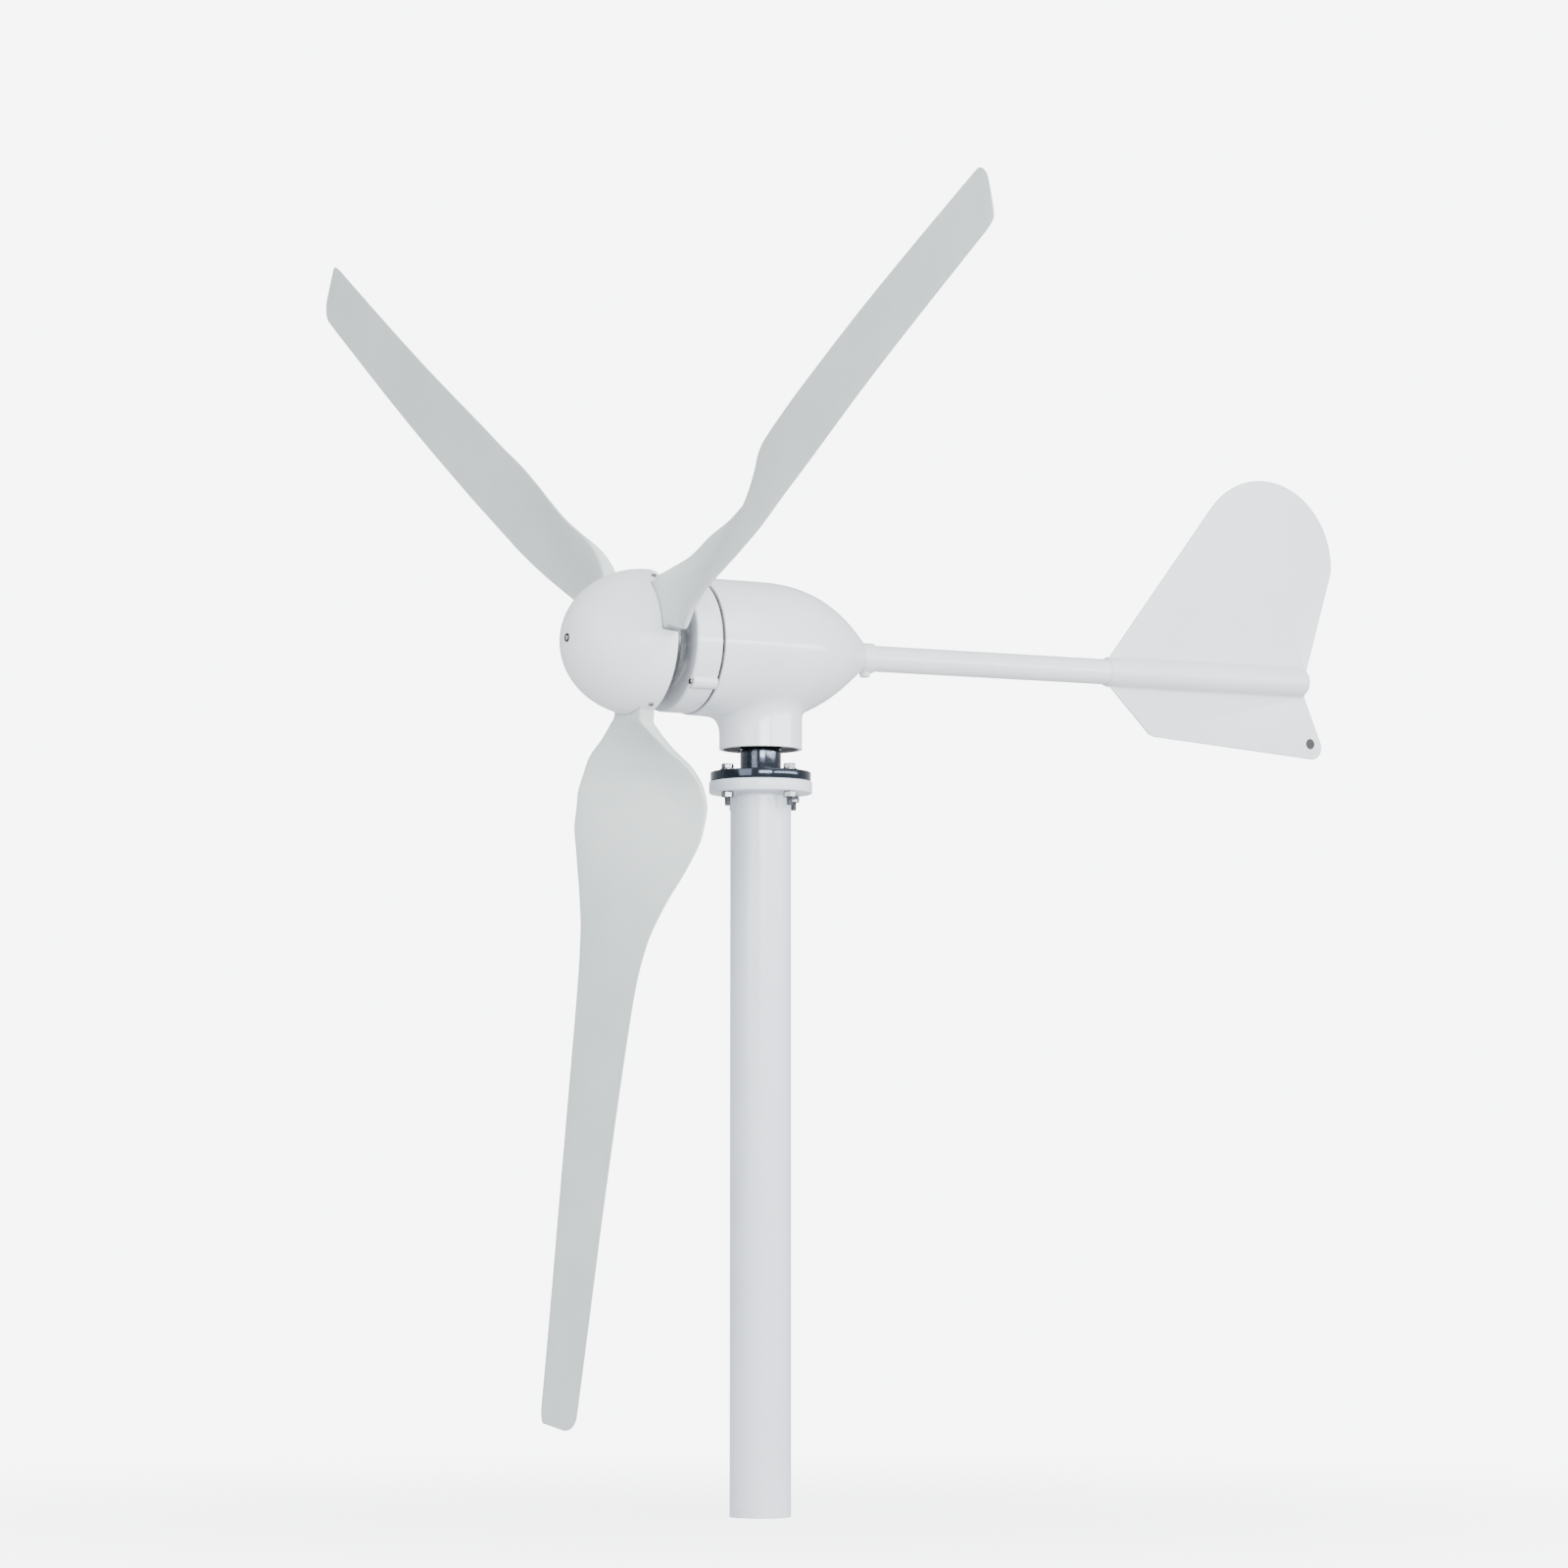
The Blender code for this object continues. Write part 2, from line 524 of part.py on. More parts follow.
# ------------------------------------------------------------------ rotor
# Blade stations: radius, chord, pitch in degrees, middle of the chord along the motion and upwind, thickness
STATIONS = (
    (0.082, 0.0620, 8.0, -0.0060, 0.0020, 0.0172),
    (0.098, 0.0830, 21.0, -0.0040, -0.0025, 0.0160),
    (0.117, 0.1170, 29.5, -0.0090, -0.0060, 0.0145),
    (0.136, 0.1330, 34.0, -0.0130, -0.0085, 0.0132),
    (0.155, 0.1410, 35.5, -0.0160, -0.0080, 0.0122),
    (0.180, 0.1410, 34.0, -0.0185, -0.0050, 0.0113),
    (0.213, 0.1290, 29.0, -0.0205, 0.0005, 0.0105),
    (0.250, 0.1110, 21.0, -0.0210, 0.0080, 0.0098),
    (0.289, 0.0970, 14.0, -0.0215, 0.0140, 0.0092),
    (0.330, 0.0895, 11.0, -0.0235, 0.0185, 0.0086),
    (0.380, 0.0860, 9.3, -0.0265, 0.0225, 0.0080),
    (0.532, 0.0760, 7.2, -0.0355, 0.0330, 0.0066),
    (0.700, 0.0665, 5.5, -0.0430, 0.0420, 0.0050),
    (0.757, 0.0635, 5.0, -0.0450, 0.0450, 0.0044),
    (0.765, 0.0560, 5.0, -0.0455, 0.0457, 0.0032),
)
SECTION_POINTS = 16


def foot_section(angle):
    """A point of the foot's rounded rectangle, for unit width and unit thickness."""
    power = 2.0 / 6.0
    cos, sin = math.cos(angle), math.sin(angle)
    return (-0.5 * math.copysign(abs(cos) ** power, cos), 0.5 * math.copysign(abs(sin) ** power, sin))


def wing_section(angle):
    """A point of the blade's section for unit chord: full nose, thin tail, hollow pressure side."""
    chord = 0.5 * (1 + math.cos(angle))
    thick = 2.6 * (math.sqrt(chord + 0.0001) * 0.2969 - 0.126 * chord - 0.3516 * chord ** 2
                   + 0.2843 * chord ** 3 - 0.1015 * chord ** 4) / 0.2
    half = 0.105 * thick / 0.13 * 0.5 + 0.03
    side = math.sin(angle)
    upwind = half * 0.55 if side > 0 else -half
    if abs(side) < 1e-6:
        upwind = 0.0
    camber = -0.55 * chord * (1 - chord)
    return (0.5 - chord, upwind + camber)


def blade_mesh():
    bm = bmesh.new()
    loops = []
    rows = [(radius, FOOT_WIDTH, 0.0, FOOT_U, FOOT_W, FOOT_THICK) for radius in (FOOT_IN, FOOT_END)]
    for radius, chord, pitch, mid_u, mid_w, thick in rows + list(STATIONS):
        blend = min(max((radius - FOOT_END) / (0.117 - FOOT_END), 0.0), 1.0)
        twist = math.radians(pitch)
        loop = []
        for index in range(SECTION_POINTS):
            angle = math.tau * index / SECTION_POINTS
            fa, fb = foot_section(angle)
            wa, wb = wing_section(angle)
            along = (fa * (1 - blend) + wa * blend) * chord
            across = (fb * (1 - blend) + wb * blend) * thick
            u = mid_u + along * math.cos(twist) - across * math.sin(twist)
            w = mid_w + along * math.sin(twist) + across * math.cos(twist)
            loop.append(bm.verts.new((-u, radius, PLANE_Y - w)))
        loops.append(loop)
    for low, high in zip(loops, loops[1:]):
        bridge(bm, low, high)
    bm.faces.new(loops[0])
    bm.faces.new(loops[-1])
    return bm


def blade_angle(index):
    return BLADE_START + math.tau * index / BLADE_COUNT


def on_hub(radius, offset_u, index):
    """A place in the rotor frame: out along a blade and aside towards its leading edge."""
    return (Matrix.Rotation(blade_angle(index), 3, "Z") @ Vector((-offset_u, radius, 0))).to_2d()


def build_blades(mats, rotor):
    holes = [rod(0.0035, PLANE_Y - 0.03, PLANE_Y + 0.03, (-FOOT_U, radius), 10) for radius in BLADE_BOLT_RADII]
    hole_mesh = place("blade_holes", merged(holes), None, rotor).data
    guide(bpy.data.objects["blade_holes"])
    for k in range(BLADE_COUNT):
        blade = place(f"blade_{k + 1}", blade_mesh(), mats["blade"], rotor, rotation=(0, 0, blade_angle(k)))
        cutter = bpy.data.objects.new(f"blade_hole_guide_{k + 1}", hole_mesh)
        bpy.context.scene.collection.objects.link(cutter)
        cutter.parent = blade
        boolean(blade, cutter)


def bolt_places():
    return [on_hub(radius, FOOT_U, k) for k in range(BLADE_COUNT) for radius in BLADE_BOLT_RADII]


def build_hub(mats, rotor):
    foot_rear = PLANE_Y - FOOT_W + FOOT_THICK / 2
    foot_front = PLANE_Y - FOOT_W - FOOT_THICK / 2
    rear_face, rear_back = foot_rear + GAP, foot_rear + GAP + 0.0080
    front_face, front_front = foot_front - GAP, foot_front - GAP - 0.0040
    holes = merged([rod(0.0034, -0.20, -0.10, (p.x, p.y)) for p in bolt_places()])
    hole_guide = place("hub_holes", holes, None, rotor)
    rear = turned([(0.0078, rear_face), (HUB_R, rear_face), (HUB_R, rear_back), (0.0125, rear_back),
                   (0.0125, -0.1100), (0.0078, -0.1100)], TURN_LARGE, closed=True)
    rear = place("hub_rear_plate", rear, mats["dark_alloy"], rotor)
    lug_angle = math.radians(40)
    lugs = []
    for k in range(BLADE_COUNT):
        lug = block((0.0060, 0.0090, 0.0130), (0, 0.0625, rear_face - 0.0055))
        lug.transform(Matrix.Rotation(blade_angle(k) - lug_angle, 4, "Z"))
        lugs.append(lug)
    rim_holes = [rim_screw_shape(0.0016, 0.050, 0.080, k, lug_angle) for k in range(BLADE_COUNT)]
    rim_guide = place("rim_holes", merged(rim_holes), None, rotor)
    boolean(rear, place("lug_guide", merged(lugs), None, rotor), "UNION")
    boolean(rear, hole_guide)
    boolean(rear, rim_guide)
    front = turned([(0.0078, front_front), (HUB_R, front_front), (HUB_R, front_face), (0.0078, front_face)],
                   TURN_LARGE, closed=True)
    boolean(place("hub_front_plate", front, mats["dark_alloy"], rotor), hole_guide)
    head_top = front_front - GAP
    for k, spot in enumerate(bolt_places()):
        bolt = turned([(0, head_top - 0.0045), (("hex", 0.0048), head_top - 0.0045), (("hex", 0.0048), head_top),
                       (0.0030, head_top), (0.0030, rear_back + 0.0045), (0, rear_back + 0.0045)], 12)
        place(f"blade_bolt_{k + 1}", bolt, mats["zinc"], rotor, (spot.x, spot.y, 0))
    nut = turned([(0.0064, head_top - 0.0080), (("hex", 0.0095), head_top - 0.0080), (("hex", 0.0095), head_top),
                  (0.0064, head_top)], 12, closed=True)
    place("hub_nut", nut, mats["zinc"], rotor)
    return rim_guide


def rim_screw_shape(radius, start, end, index, lug_angle, head=0.0):
    """A radial screw or its hole, at the nose cone's rim beside a blade."""
    height = NOSE_RIM_Y - 0.0085
    shape = rod(radius, start, end, segments=10)
    if head:
        shape.free()
        shape = turned([(0, start), (radius, start), (radius, end - 0.0012), (head, end - 0.0012), (head, end),
                        (0, end)], 10)
    lift = Matrix.Rotation(-math.pi / 2, 4, "X")
    turn = Matrix.Rotation(blade_angle(index) - lug_angle, 4, "Z")
    shape.transform(Matrix.Translation((0, 0, height)) @ turn @ lift)
    return shape


def nose_profile(radius, tip, rim, steps):
    """Half an ellipse from the tip to the rim, as (radius, height) points."""
    points = []
    for step in range(1, steps + 1):
        angle = math.pi / 2 * step / steps
        points.append((radius * math.sin(angle), rim + (tip - rim) * math.cos(angle)))
    return points


def build_nose(mats, rotor, rim_guide):
    outer = nose_profile(NOSE_R, NOSE_TIP_Y, NOSE_RIM_Y, 9)
    inner = nose_profile(NOSE_R - NOSE_WALL, NOSE_TIP_Y + NOSE_WALL, NOSE_RIM_Y, 6)
    boss_r, boss_end = 0.0060, -0.1700
    shell = turned([(0, NOSE_TIP_Y), *outer, *reversed(inner), (0, NOSE_TIP_Y + NOSE_WALL)], TURN_LARGE)
    nose = place("nose_cone", shell, mats["white"], rotor)
    boolean(nose, place("nose_boss", rod(boss_r, NOSE_TIP_Y + 0.0012, boss_end, segments=TURN_SMALL), None, rotor),
            "UNION")
    screw_hole = turned([(0, -0.2300), (0.0036, -0.2300), (0.0036, -0.2160), (0.0023, -0.2160), (0.0023, -0.1600),
                         (0, -0.1600)], TURN_SMALL)
    boolean(nose, place("nose_screw_hole", screw_hole, None, rotor))
    notches = []
    for k in range(BLADE_COUNT):
        notch = block((2 * NOTCH_HALF, 0.060, 0.050), (-FOOT_U, 0.075, NOTCH_Y + 0.025))
        notch.transform(Matrix.Rotation(blade_angle(k), 4, "Z"))
        notches.append(notch)
    boolean(nose, place("nose_notches", merged(notches), None, rotor))
    boolean(nose, rim_guide)
    screw = turned([(0, -0.2180), (0.0026, -0.2180), (0.0032, -0.2174), (0.0032, -0.2163), (0.0020, -0.2163),
                    (0.0020, -0.1800), (0, -0.1800)], TURN_SMALL)
    place("nose_screw", screw, mats["zinc"], rotor)
    for k in range(BLADE_COUNT):
        shape = rim_screw_shape(0.0013, 0.0600, NOSE_R + 0.0014, k, math.radians(40), head=0.0023)
        place(f"nose_rim_screw_{k + 1}", shape, mats["zinc"], rotor)


# ------------------------------------------------------------------ assembly
def main():
    clear_scene()
    mats = {
        "white": material("white_paint", (0.72, 0.74, 0.76), 0.28, 0.0),
        "vane": material("vane_paint", (0.70, 0.73, 0.74), 0.42, 0.0),
        "blade": material("blade_moulding", (0.60, 0.64, 0.63), 0.42, 0.0),
        "dark_steel": material("polished_dark_steel", (0.10, 0.13, 0.17), 0.22, 0.9),
        "dark_alloy": material("dark_alloy", (0.18, 0.19, 0.21), 0.45, 0.8),
        "zinc": material("zinc_plate", (0.62, 0.64, 0.66), 0.32, 1.0),
        "steel": material("ground_steel", (0.55, 0.56, 0.58), 0.30, 1.0),
        "bright": material("ball_steel", (0.70, 0.71, 0.73), 0.15, 1.0),
        "copper": material("copper", (0.72, 0.38, 0.20), 0.35, 1.0),
        "bronze": material("bronze", (0.60, 0.44, 0.22), 0.40, 1.0),
        "black": material("black_moulding", (0.04, 0.04, 0.045), 0.50, 0.0),
        "carbon": material("carbon", (0.06, 0.06, 0.06), 0.70, 0.0),
        "lamination": material("lamination_steel", (0.32, 0.33, 0.35), 0.50, 0.9),
        "magnet": material("magnet", (0.28, 0.29, 0.31), 0.35, 0.9),
    }
    along_y = (-math.pi / 2, 0, 0)
    mast = empty("mast_root", (0, 0, 0))
    head = empty("yaw_axis", (0, 0, 0), parent=mast)
    axis = empty("head_axis", (0, 0, AXIS_HEIGHT), along_y, head)
    rotor = empty("rotor_axis", (0, 0, AXIS_HEIGHT), along_y, head)
    front_balls = empty("front_ball_axis", (0, 0, AXIS_HEIGHT), along_y, head)
    rear_balls = empty("rear_ball_axis", (0, 0, AXIS_HEIGHT), along_y, head)
    yaw_balls = empty("yaw_ball_axis", (0, 0, 0), parent=mast)
    tail = empty("tail_line", (0, TAIL_PIVOT_Y, AXIS_HEIGHT), (TAIL_RISE - math.pi / 2, 0, 0), head)

    build_mast(mats, mast)
    build_housing(mats, head, axis, tail)
    build_cover(mats, axis)
    build_tail(mats, tail)
    build_generator(mats, axis, rotor, front_balls, rear_balls)
    bearing(("yaw_bearing_inner", "yaw_bearing_outer", "yaw_bearing_balls"),
            (JOURNAL_R + GAP, 0.0232, 0.0303, 0.0360), AXIS_HEIGHT - 0.0935, AXIS_HEIGHT - 0.0765,
            (mats["steel"], mats["bright"]), (mast, head, yaw_balls))
    build_blades(mats, rotor)
    rim_guide = build_hub(mats, rotor)
    build_nose(mats, rotor, rim_guide)


main()
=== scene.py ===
"""Looks for a small wind turbine: fine shells, blades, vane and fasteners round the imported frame.

Metres, +Z up, nose along -Y. Round pieces on the rotor axis are drawn along their own Z, with
heights that are distances along +Y, and then laid down onto the axis.
"""
import json
import math

import bmesh
import bpy
import numpy as np
from mathutils import Matrix, Vector


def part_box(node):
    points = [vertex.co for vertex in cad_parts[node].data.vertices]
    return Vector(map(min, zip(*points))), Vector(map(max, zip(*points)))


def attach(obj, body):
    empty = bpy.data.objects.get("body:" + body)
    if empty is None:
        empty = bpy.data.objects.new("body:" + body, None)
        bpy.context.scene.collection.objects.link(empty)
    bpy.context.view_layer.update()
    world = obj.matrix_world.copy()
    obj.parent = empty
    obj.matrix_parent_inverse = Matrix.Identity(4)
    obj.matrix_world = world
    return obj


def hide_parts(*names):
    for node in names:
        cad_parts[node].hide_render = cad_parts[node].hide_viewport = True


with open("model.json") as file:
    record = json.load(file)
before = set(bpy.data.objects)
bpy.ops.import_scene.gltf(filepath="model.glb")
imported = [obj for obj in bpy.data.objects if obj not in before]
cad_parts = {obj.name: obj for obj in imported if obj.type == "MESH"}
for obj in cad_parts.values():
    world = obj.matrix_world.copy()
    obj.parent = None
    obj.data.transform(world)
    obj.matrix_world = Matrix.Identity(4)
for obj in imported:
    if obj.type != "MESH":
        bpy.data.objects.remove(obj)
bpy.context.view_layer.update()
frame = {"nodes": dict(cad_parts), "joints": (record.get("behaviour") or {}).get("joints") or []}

# ---- places taken from the frame
JOINTS = {joint["name"]: joint for joint in frame["joints"]}
AXIS_HEIGHT = JOINTS["rotor_spin"]["pos_m"][2]
LAID_DOWN = Matrix.Translation((0, 0, AXIS_HEIGHT)) @ Matrix.Rotation(-math.pi / 2, 4, "X")
TAIL_START_Y, TAIL_RISE = 0.098, math.radians(0.7)
TAIL_LINE = (Matrix.Translation((0, TAIL_START_Y, AXIS_HEIGHT))
             @ Matrix.Rotation(TAIL_RISE - math.pi / 2, 4, "X"))

BLADE_COUNT, BLADE_START = 3, math.radians(9.3)
PLANE_Y = JOINTS["rotor_spin"]["pos_m"][1]
FOOT_WIDTH, FOOT_THICK, FOOT_IN, FOOT_END = 0.054, 0.018, 0.024, 0.074
FOOT_U, FOOT_W = -0.008, 0.004
RIM_SCREW_TURN = math.radians(37)


# ---- mesh helpers
EDGE_WEAR_AND_HIGHLIGHT_ANGLE = math.radians(28)


def polar(radius, angle):
    return radius * math.cos(angle), radius * math.sin(angle)


def arc(centre, radius, start, end, steps):
    """Points of an arc in a profile, angles in degrees."""
    angles = [math.radians(start + (end - start) * k / steps) for k in range(steps + 1)]
    return [(centre[0] + radius * math.cos(a), centre[1] + radius * math.sin(a)) for a in angles]


def hex_reach(angle):
    return 1.0 / math.cos((angle + math.pi / 6) % (math.pi / 3) - math.pi / 6)


def bridge(bm, low, high):
    """Faces between two closed loops of equal length, or between a loop and a single point."""
    count = max(len(low), len(high))
    for k in range(count):
        n = (k + 1) % count
        ring = [low[k % len(low)], low[n % len(low)], high[n % len(high)], high[k % len(high)]]
        bm.faces.new(list(dict.fromkeys(ring)))


def turned(profile, segments=96, closed=False):
    """Revolve (radius, height) points about Z; a radius of ("hex", r) has six flats."""
    bm = bmesh.new()
    rings = []
    for radius, height in profile:
        flats = isinstance(radius, tuple)
        size = radius[1] if flats else radius
        if size == 0:
            rings.append([bm.verts.new((0, 0, height))])
            continue
        ring = []
        for k in range(segments):
            angle = math.tau * k / segments
            reach = size * hex_reach(angle) if flats else size
            ring.append(bm.verts.new((*polar(reach, angle), height)))
        rings.append(ring)
    for low, high in zip(rings, rings[1:] + (rings[:1] if closed else [])):
        if low is not high:
            bridge(bm, low, high)
    if not closed:
        for ring in (rings[0], rings[-1]):
            if len(ring) > 1:
                bm.faces.new(ring)
    return bm


def lofted(loops, cap=True):
    """Skin a list of closed point loops."""
    bm = bmesh.new()
    rings = [[bm.verts.new(point) for point in loop] for loop in loops]
    for low, high in zip(rings, rings[1:]):
        bridge(bm, low, high)
    if cap:
        bm.faces.new(rings[0])
        bm.faces.new(rings[-1])
    return bm


def as_object(name, bm, place=None):
    """A bmesh becomes an object whose place is in its mesh."""
    bmesh.ops.recalc_face_normals(bm, faces=bm.faces)
    mesh = bpy.data.meshes.new(name)
    bm.to_mesh(mesh)
    bm.free()
    if place is not None:
        mesh.transform(place)
    item = bpy.data.objects.new(name, mesh)
    bpy.context.scene.collection.objects.link(item)
    return item


def bevelled(item, width, segments=3, angle=38):
    mod = item.modifiers.new("edges", "BEVEL")
    mod.width = width
    mod.segments = segments
    mod.limit_method = "ANGLE"
    mod.angle_limit = math.radians(angle)


def settle(item):
    """Bake the modifiers into a plain mesh and drop them."""
    bpy.context.view_layer.update()
    graph = bpy.context.evaluated_depsgraph_get()
    mesh = bpy.data.meshes.new_from_object(item.evaluated_get(graph))
    item.modifiers.clear()
    item.data = mesh


def boolean(item, other, operation):
    mod = item.modifiers.new(operation.lower(), "BOOLEAN")
    mod.operation = operation
    mod.object = other
    settle(item)
    bpy.data.objects.remove(other, do_unlink=True)


def ring_piece(name, profile, segments, place, finish, body, stands_for=(), sharp=40):
    """A turned ring as a finished piece."""
    dress(as_object(name, turned(profile, segments, closed=True), place), finish, body, stands_for, sharp)


def mark_edges(mesh):
    """A point attribute that is 1 on sharp outer edges and fades away from them."""
    bm = bmesh.new()
    bm.from_mesh(mesh)
    edge_wear_and_highlight = np.zeros(len(bm.verts))
    for edge in bm.edges:
        if len(edge.link_faces) == 2 and edge.calc_face_angle_signed(0) > EDGE_WEAR_AND_HIGHLIGHT_ANGLE:
            edge_wear_and_highlight[edge.verts[0].index] = 1.0
            edge_wear_and_highlight[edge.verts[1].index] = 1.0
    pairs = np.array([[e.verts[0].index, e.verts[1].index] for e in bm.edges]).reshape(-1, 2)
    bm.free()
    for _ in range(2):
        total, count = edge_wear_and_highlight.copy(), np.ones(len(edge_wear_and_highlight))
        for a, b in ((0, 1), (1, 0)):
            np.add.at(total, pairs[:, a], edge_wear_and_highlight[pairs[:, b]])
            np.add.at(count, pairs[:, a], 1)
        edge_wear_and_highlight = np.maximum(edge_wear_and_highlight * 0.8, total / count)
    layer = mesh.attributes.new("edge_wear_and_highlight", "FLOAT", "POINT")
    layer.data.foreach_set("value", edge_wear_and_highlight.astype(np.float32))


def dress(item, finish, body, stands_for=(), sharp=40):
    """Smooth shading, edge attribute, material and body for one finished piece."""
    if item.modifiers:
        settle(item)
    mesh = item.data
    mesh.shade_smooth()
    mesh.set_sharp_from_angle(angle=math.radians(sharp))
    mark_edges(mesh)
    mesh.materials.clear()
    mesh.materials.append(FINISH[finish])
    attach(item, body)
    if stands_for:
        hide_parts(*stands_for)


# ---- shader groups and materials
def group(name, inputs, outputs, family="ShaderNodeTree"):
    """A node group with its sockets; inputs are (label, kind, starting value), outputs (label, kind)."""
    tree = bpy.data.node_groups.new(name, family)
    for label, kind, value in inputs:
        socket = tree.interface.new_socket(name=label, in_out="INPUT", socket_type="NodeSocket" + kind)
        if value is not None:
            socket.default_value = value
    for label, kind in outputs:
        tree.interface.new_socket(name=label, in_out="OUTPUT", socket_type="NodeSocket" + kind)
    return tree, tree.nodes.new("NodeGroupInput").outputs, tree.nodes.new("NodeGroupOutput")


def node(tree, kind, settings=None, **inputs):
    """A node with its settings, and its inputs as values or as sockets to link from."""
    made = tree.nodes.new(kind)
    for key, value in (settings or {}).items():
        setattr(made, key, value)
    for key, value in inputs.items():
        numbered = key[0] == "i" and key[1:].isdigit()
        socket = made.inputs[int(key[1:])] if numbered else made.inputs[key.replace("_", " ")]
        if isinstance(value, bpy.types.NodeSocket):
            tree.links.new(value, socket)
        else:
            socket.default_value = value
    return made


def give(tree, sink, **values):
    """Link sockets to the named inputs of a node."""
    for key, value in values.items():
        tree.links.new(value, sink.inputs[key.replace("_", " ")])


def calc(tree, operation, first, second=0.0, third=0.0):
    return node(tree, "ShaderNodeMath", {"operation": operation}, i0=first, i1=second, i2=third).outputs[0]


def times(tree, first, second):
    return calc(tree, "MULTIPLY", first, second)


def vector(tree, operation, first, second=(0.0, 0.0, 0.0)):
    made = node(tree, "ShaderNodeVectorMath", {"operation": operation}, i0=first, i1=second)
    return made.outputs["Value" if operation in ("LENGTH", "DOT_PRODUCT") else "Vector"]


def spread(tree, value, low, high, to_low=0.0, to_high=1.0):
    """A smooth step from one range of values to another."""
    return node(tree, "ShaderNodeMapRange", {"interpolation_type": "SMOOTHSTEP"}, Value=value,
                From_Min=low, From_Max=high, To_Min=to_low, To_Max=to_high).outputs[0]


def here(tree):
    return tree.nodes.new("ShaderNodeTexCoord").outputs["Object"]


def noise(tree, scale, detail=3.0, roughness=0.5, place=None):
    return node(tree, "ShaderNodeTexNoise", {}, Vector=place or here(tree), Scale=scale, Detail=detail,
                Roughness=roughness).outputs["Fac"]


def mix(tree, factor, first, second):
    """One colour over another; a colour is three numbers or a socket."""
    ends = [end if isinstance(end, bpy.types.NodeSocket) else (*end, 1.0) for end in (first, second)]
    return node(tree, "ShaderNodeMix", {"data_type": "RGBA"}, i0=factor, i6=ends[0], i7=ends[1]).outputs[2]


def attribute(tree, name):
    return node(tree, "ShaderNodeAttribute", {"attribute_name": name}).outputs["Fac"]


def paint_skin_group():
    """Orange peel of sprayed or moulded gloss skin: a fine height and a slow mottle."""
    tree, source, sink = group("paint_skin", [("Peel Scale", "Float", 900.0), ("Mottle Scale", "Float", 9.0)],
                               [("Height", "Float"), ("Mottle", "Float")])
    give(tree, sink, Height=noise(tree, source["Peel Scale"], 1.5, 0.45),
         Mottle=noise(tree, source["Mottle Scale"], 5.0, 0.55))
    return tree


def wear_group():
    """Outer edges broken up by noise, which carry edge wear and, in the gloss paint, a painted edge
    highlight; and dust that settles on upward faces.
    """
    tree, source, sink = group("edge_and_dust",
                               [("Break Scale", "Float", 260.0), ("Dust Scale", "Float", 40.0)],
                               [("Edge", "Float"), ("Dust", "Float")])
    broken = spread(tree, noise(tree, source["Break Scale"], 4.0, 0.6), 0.42, 0.66)
    normal = tree.nodes.new("ShaderNodeNewGeometry").outputs["Normal"]
    up = node(tree, "ShaderNodeSeparateXYZ", {}, Vector=normal).outputs["Z"]
    patches = spread(tree, noise(tree, source["Dust Scale"], 5.0, 0.6), 0.35, 0.75)
    give(tree, sink, Edge=times(tree, attribute(tree, "edge_wear_and_highlight"), broken),
         Dust=times(tree, spread(tree, up, 0.1, 1.0), patches))
    return tree


def turning_group():
    """Fine lathe lines: bands that change with the distance from a line and with the place along it."""
    tree, source, sink = group("turning_lines", [("Line Scale", "Float", 1400.0),
                                                 ("Across", "Vector", (1.0, 1.0, 0.0)),
                                                 ("Centre", "Vector", (0.0, 0.0, 0.0))],
                               [("Height", "Float"), ("Streak", "Float")])
    moved = vector(tree, "SUBTRACT", here(tree), source["Centre"])
    across = vector(tree, "MULTIPLY", moved, source["Across"])
    along = vector(tree, "DOT_PRODUCT", vector(tree, "SUBTRACT", moved, across), (1.0, 1.0, 1.0))
    spot = node(tree, "ShaderNodeCombineXYZ", {}, X=vector(tree, "LENGTH", across), Y=along).outputs[0]
    give(tree, sink, Height=noise(tree, source["Line Scale"], 2.0, 0.5, spot),
         Streak=noise(tree, times(tree, source["Line Scale"], 0.12), 3.0, 0.6, spot))
    return tree


PAINT_SKIN, WEAR, TURNING = paint_skin_group(), wear_group(), turning_group()


def use(tree, made, **values):
    """The outputs of a shared group, placed with its own values."""
    return node(tree, "ShaderNodeGroup", {"node_tree": made}, **values).outputs


def principled(name, metallic=0.0, coat=0.0, coat_rough=0.1):
    mat = bpy.data.materials.new(name)
    mat.use_nodes = True
    shader = mat.node_tree.nodes["Principled BSDF"]
    for label, value in (("Metallic", metallic), ("Coat Weight", coat), ("Coat Roughness", coat_rough)):
        shader.inputs[label].default_value = value
    return mat, mat.node_tree, shader


def bump(tree, shader, height, strength, distance):
    made = node(tree, "ShaderNodeBump", {}, Height=height, Strength=strength, Distance=distance)
    give(tree, shader, Normal=made.outputs["Normal"])


def gloss_paint(name, colour, shade, rough, peel, coat, relief=0.00006):
    """Gloss skin over a light ground: slow mottle, peel, pale edges that are part wear and part painted
    highlight, and a breath of dust.
    """
    mat, tree, shader = principled(name, coat=coat, coat_rough=0.08)
    skin = use(tree, PAINT_SKIN, Peel_Scale=peel, Mottle_Scale=11.0)
    wear = use(tree, WEAR, Break_Scale=240.0, Dust_Scale=34.0)
    base = mix(tree, spread(tree, skin["Mottle"], 0.3, 0.7), colour, shade)
    # Outer edges mixed towards a paler grey: part edge wear, part painted highlight along the edges.
    worn_and_highlit = mix(tree, times(tree, wear["Edge"], 0.55), base, (0.80, 0.81, 0.82))
    dusty = mix(tree, times(tree, wear["Dust"], 0.16), worn_and_highlit, (0.55, 0.53, 0.49))
    sheen = spread(tree, skin["Mottle"], 0.25, 0.75, *rough)
    give(tree, shader, Base_Color=dusty, Roughness=calc(tree, "ADD", sheen, times(tree, wear["Dust"], 0.12)))
    bump(tree, shader, skin["Height"], 0.35, relief)
    return mat


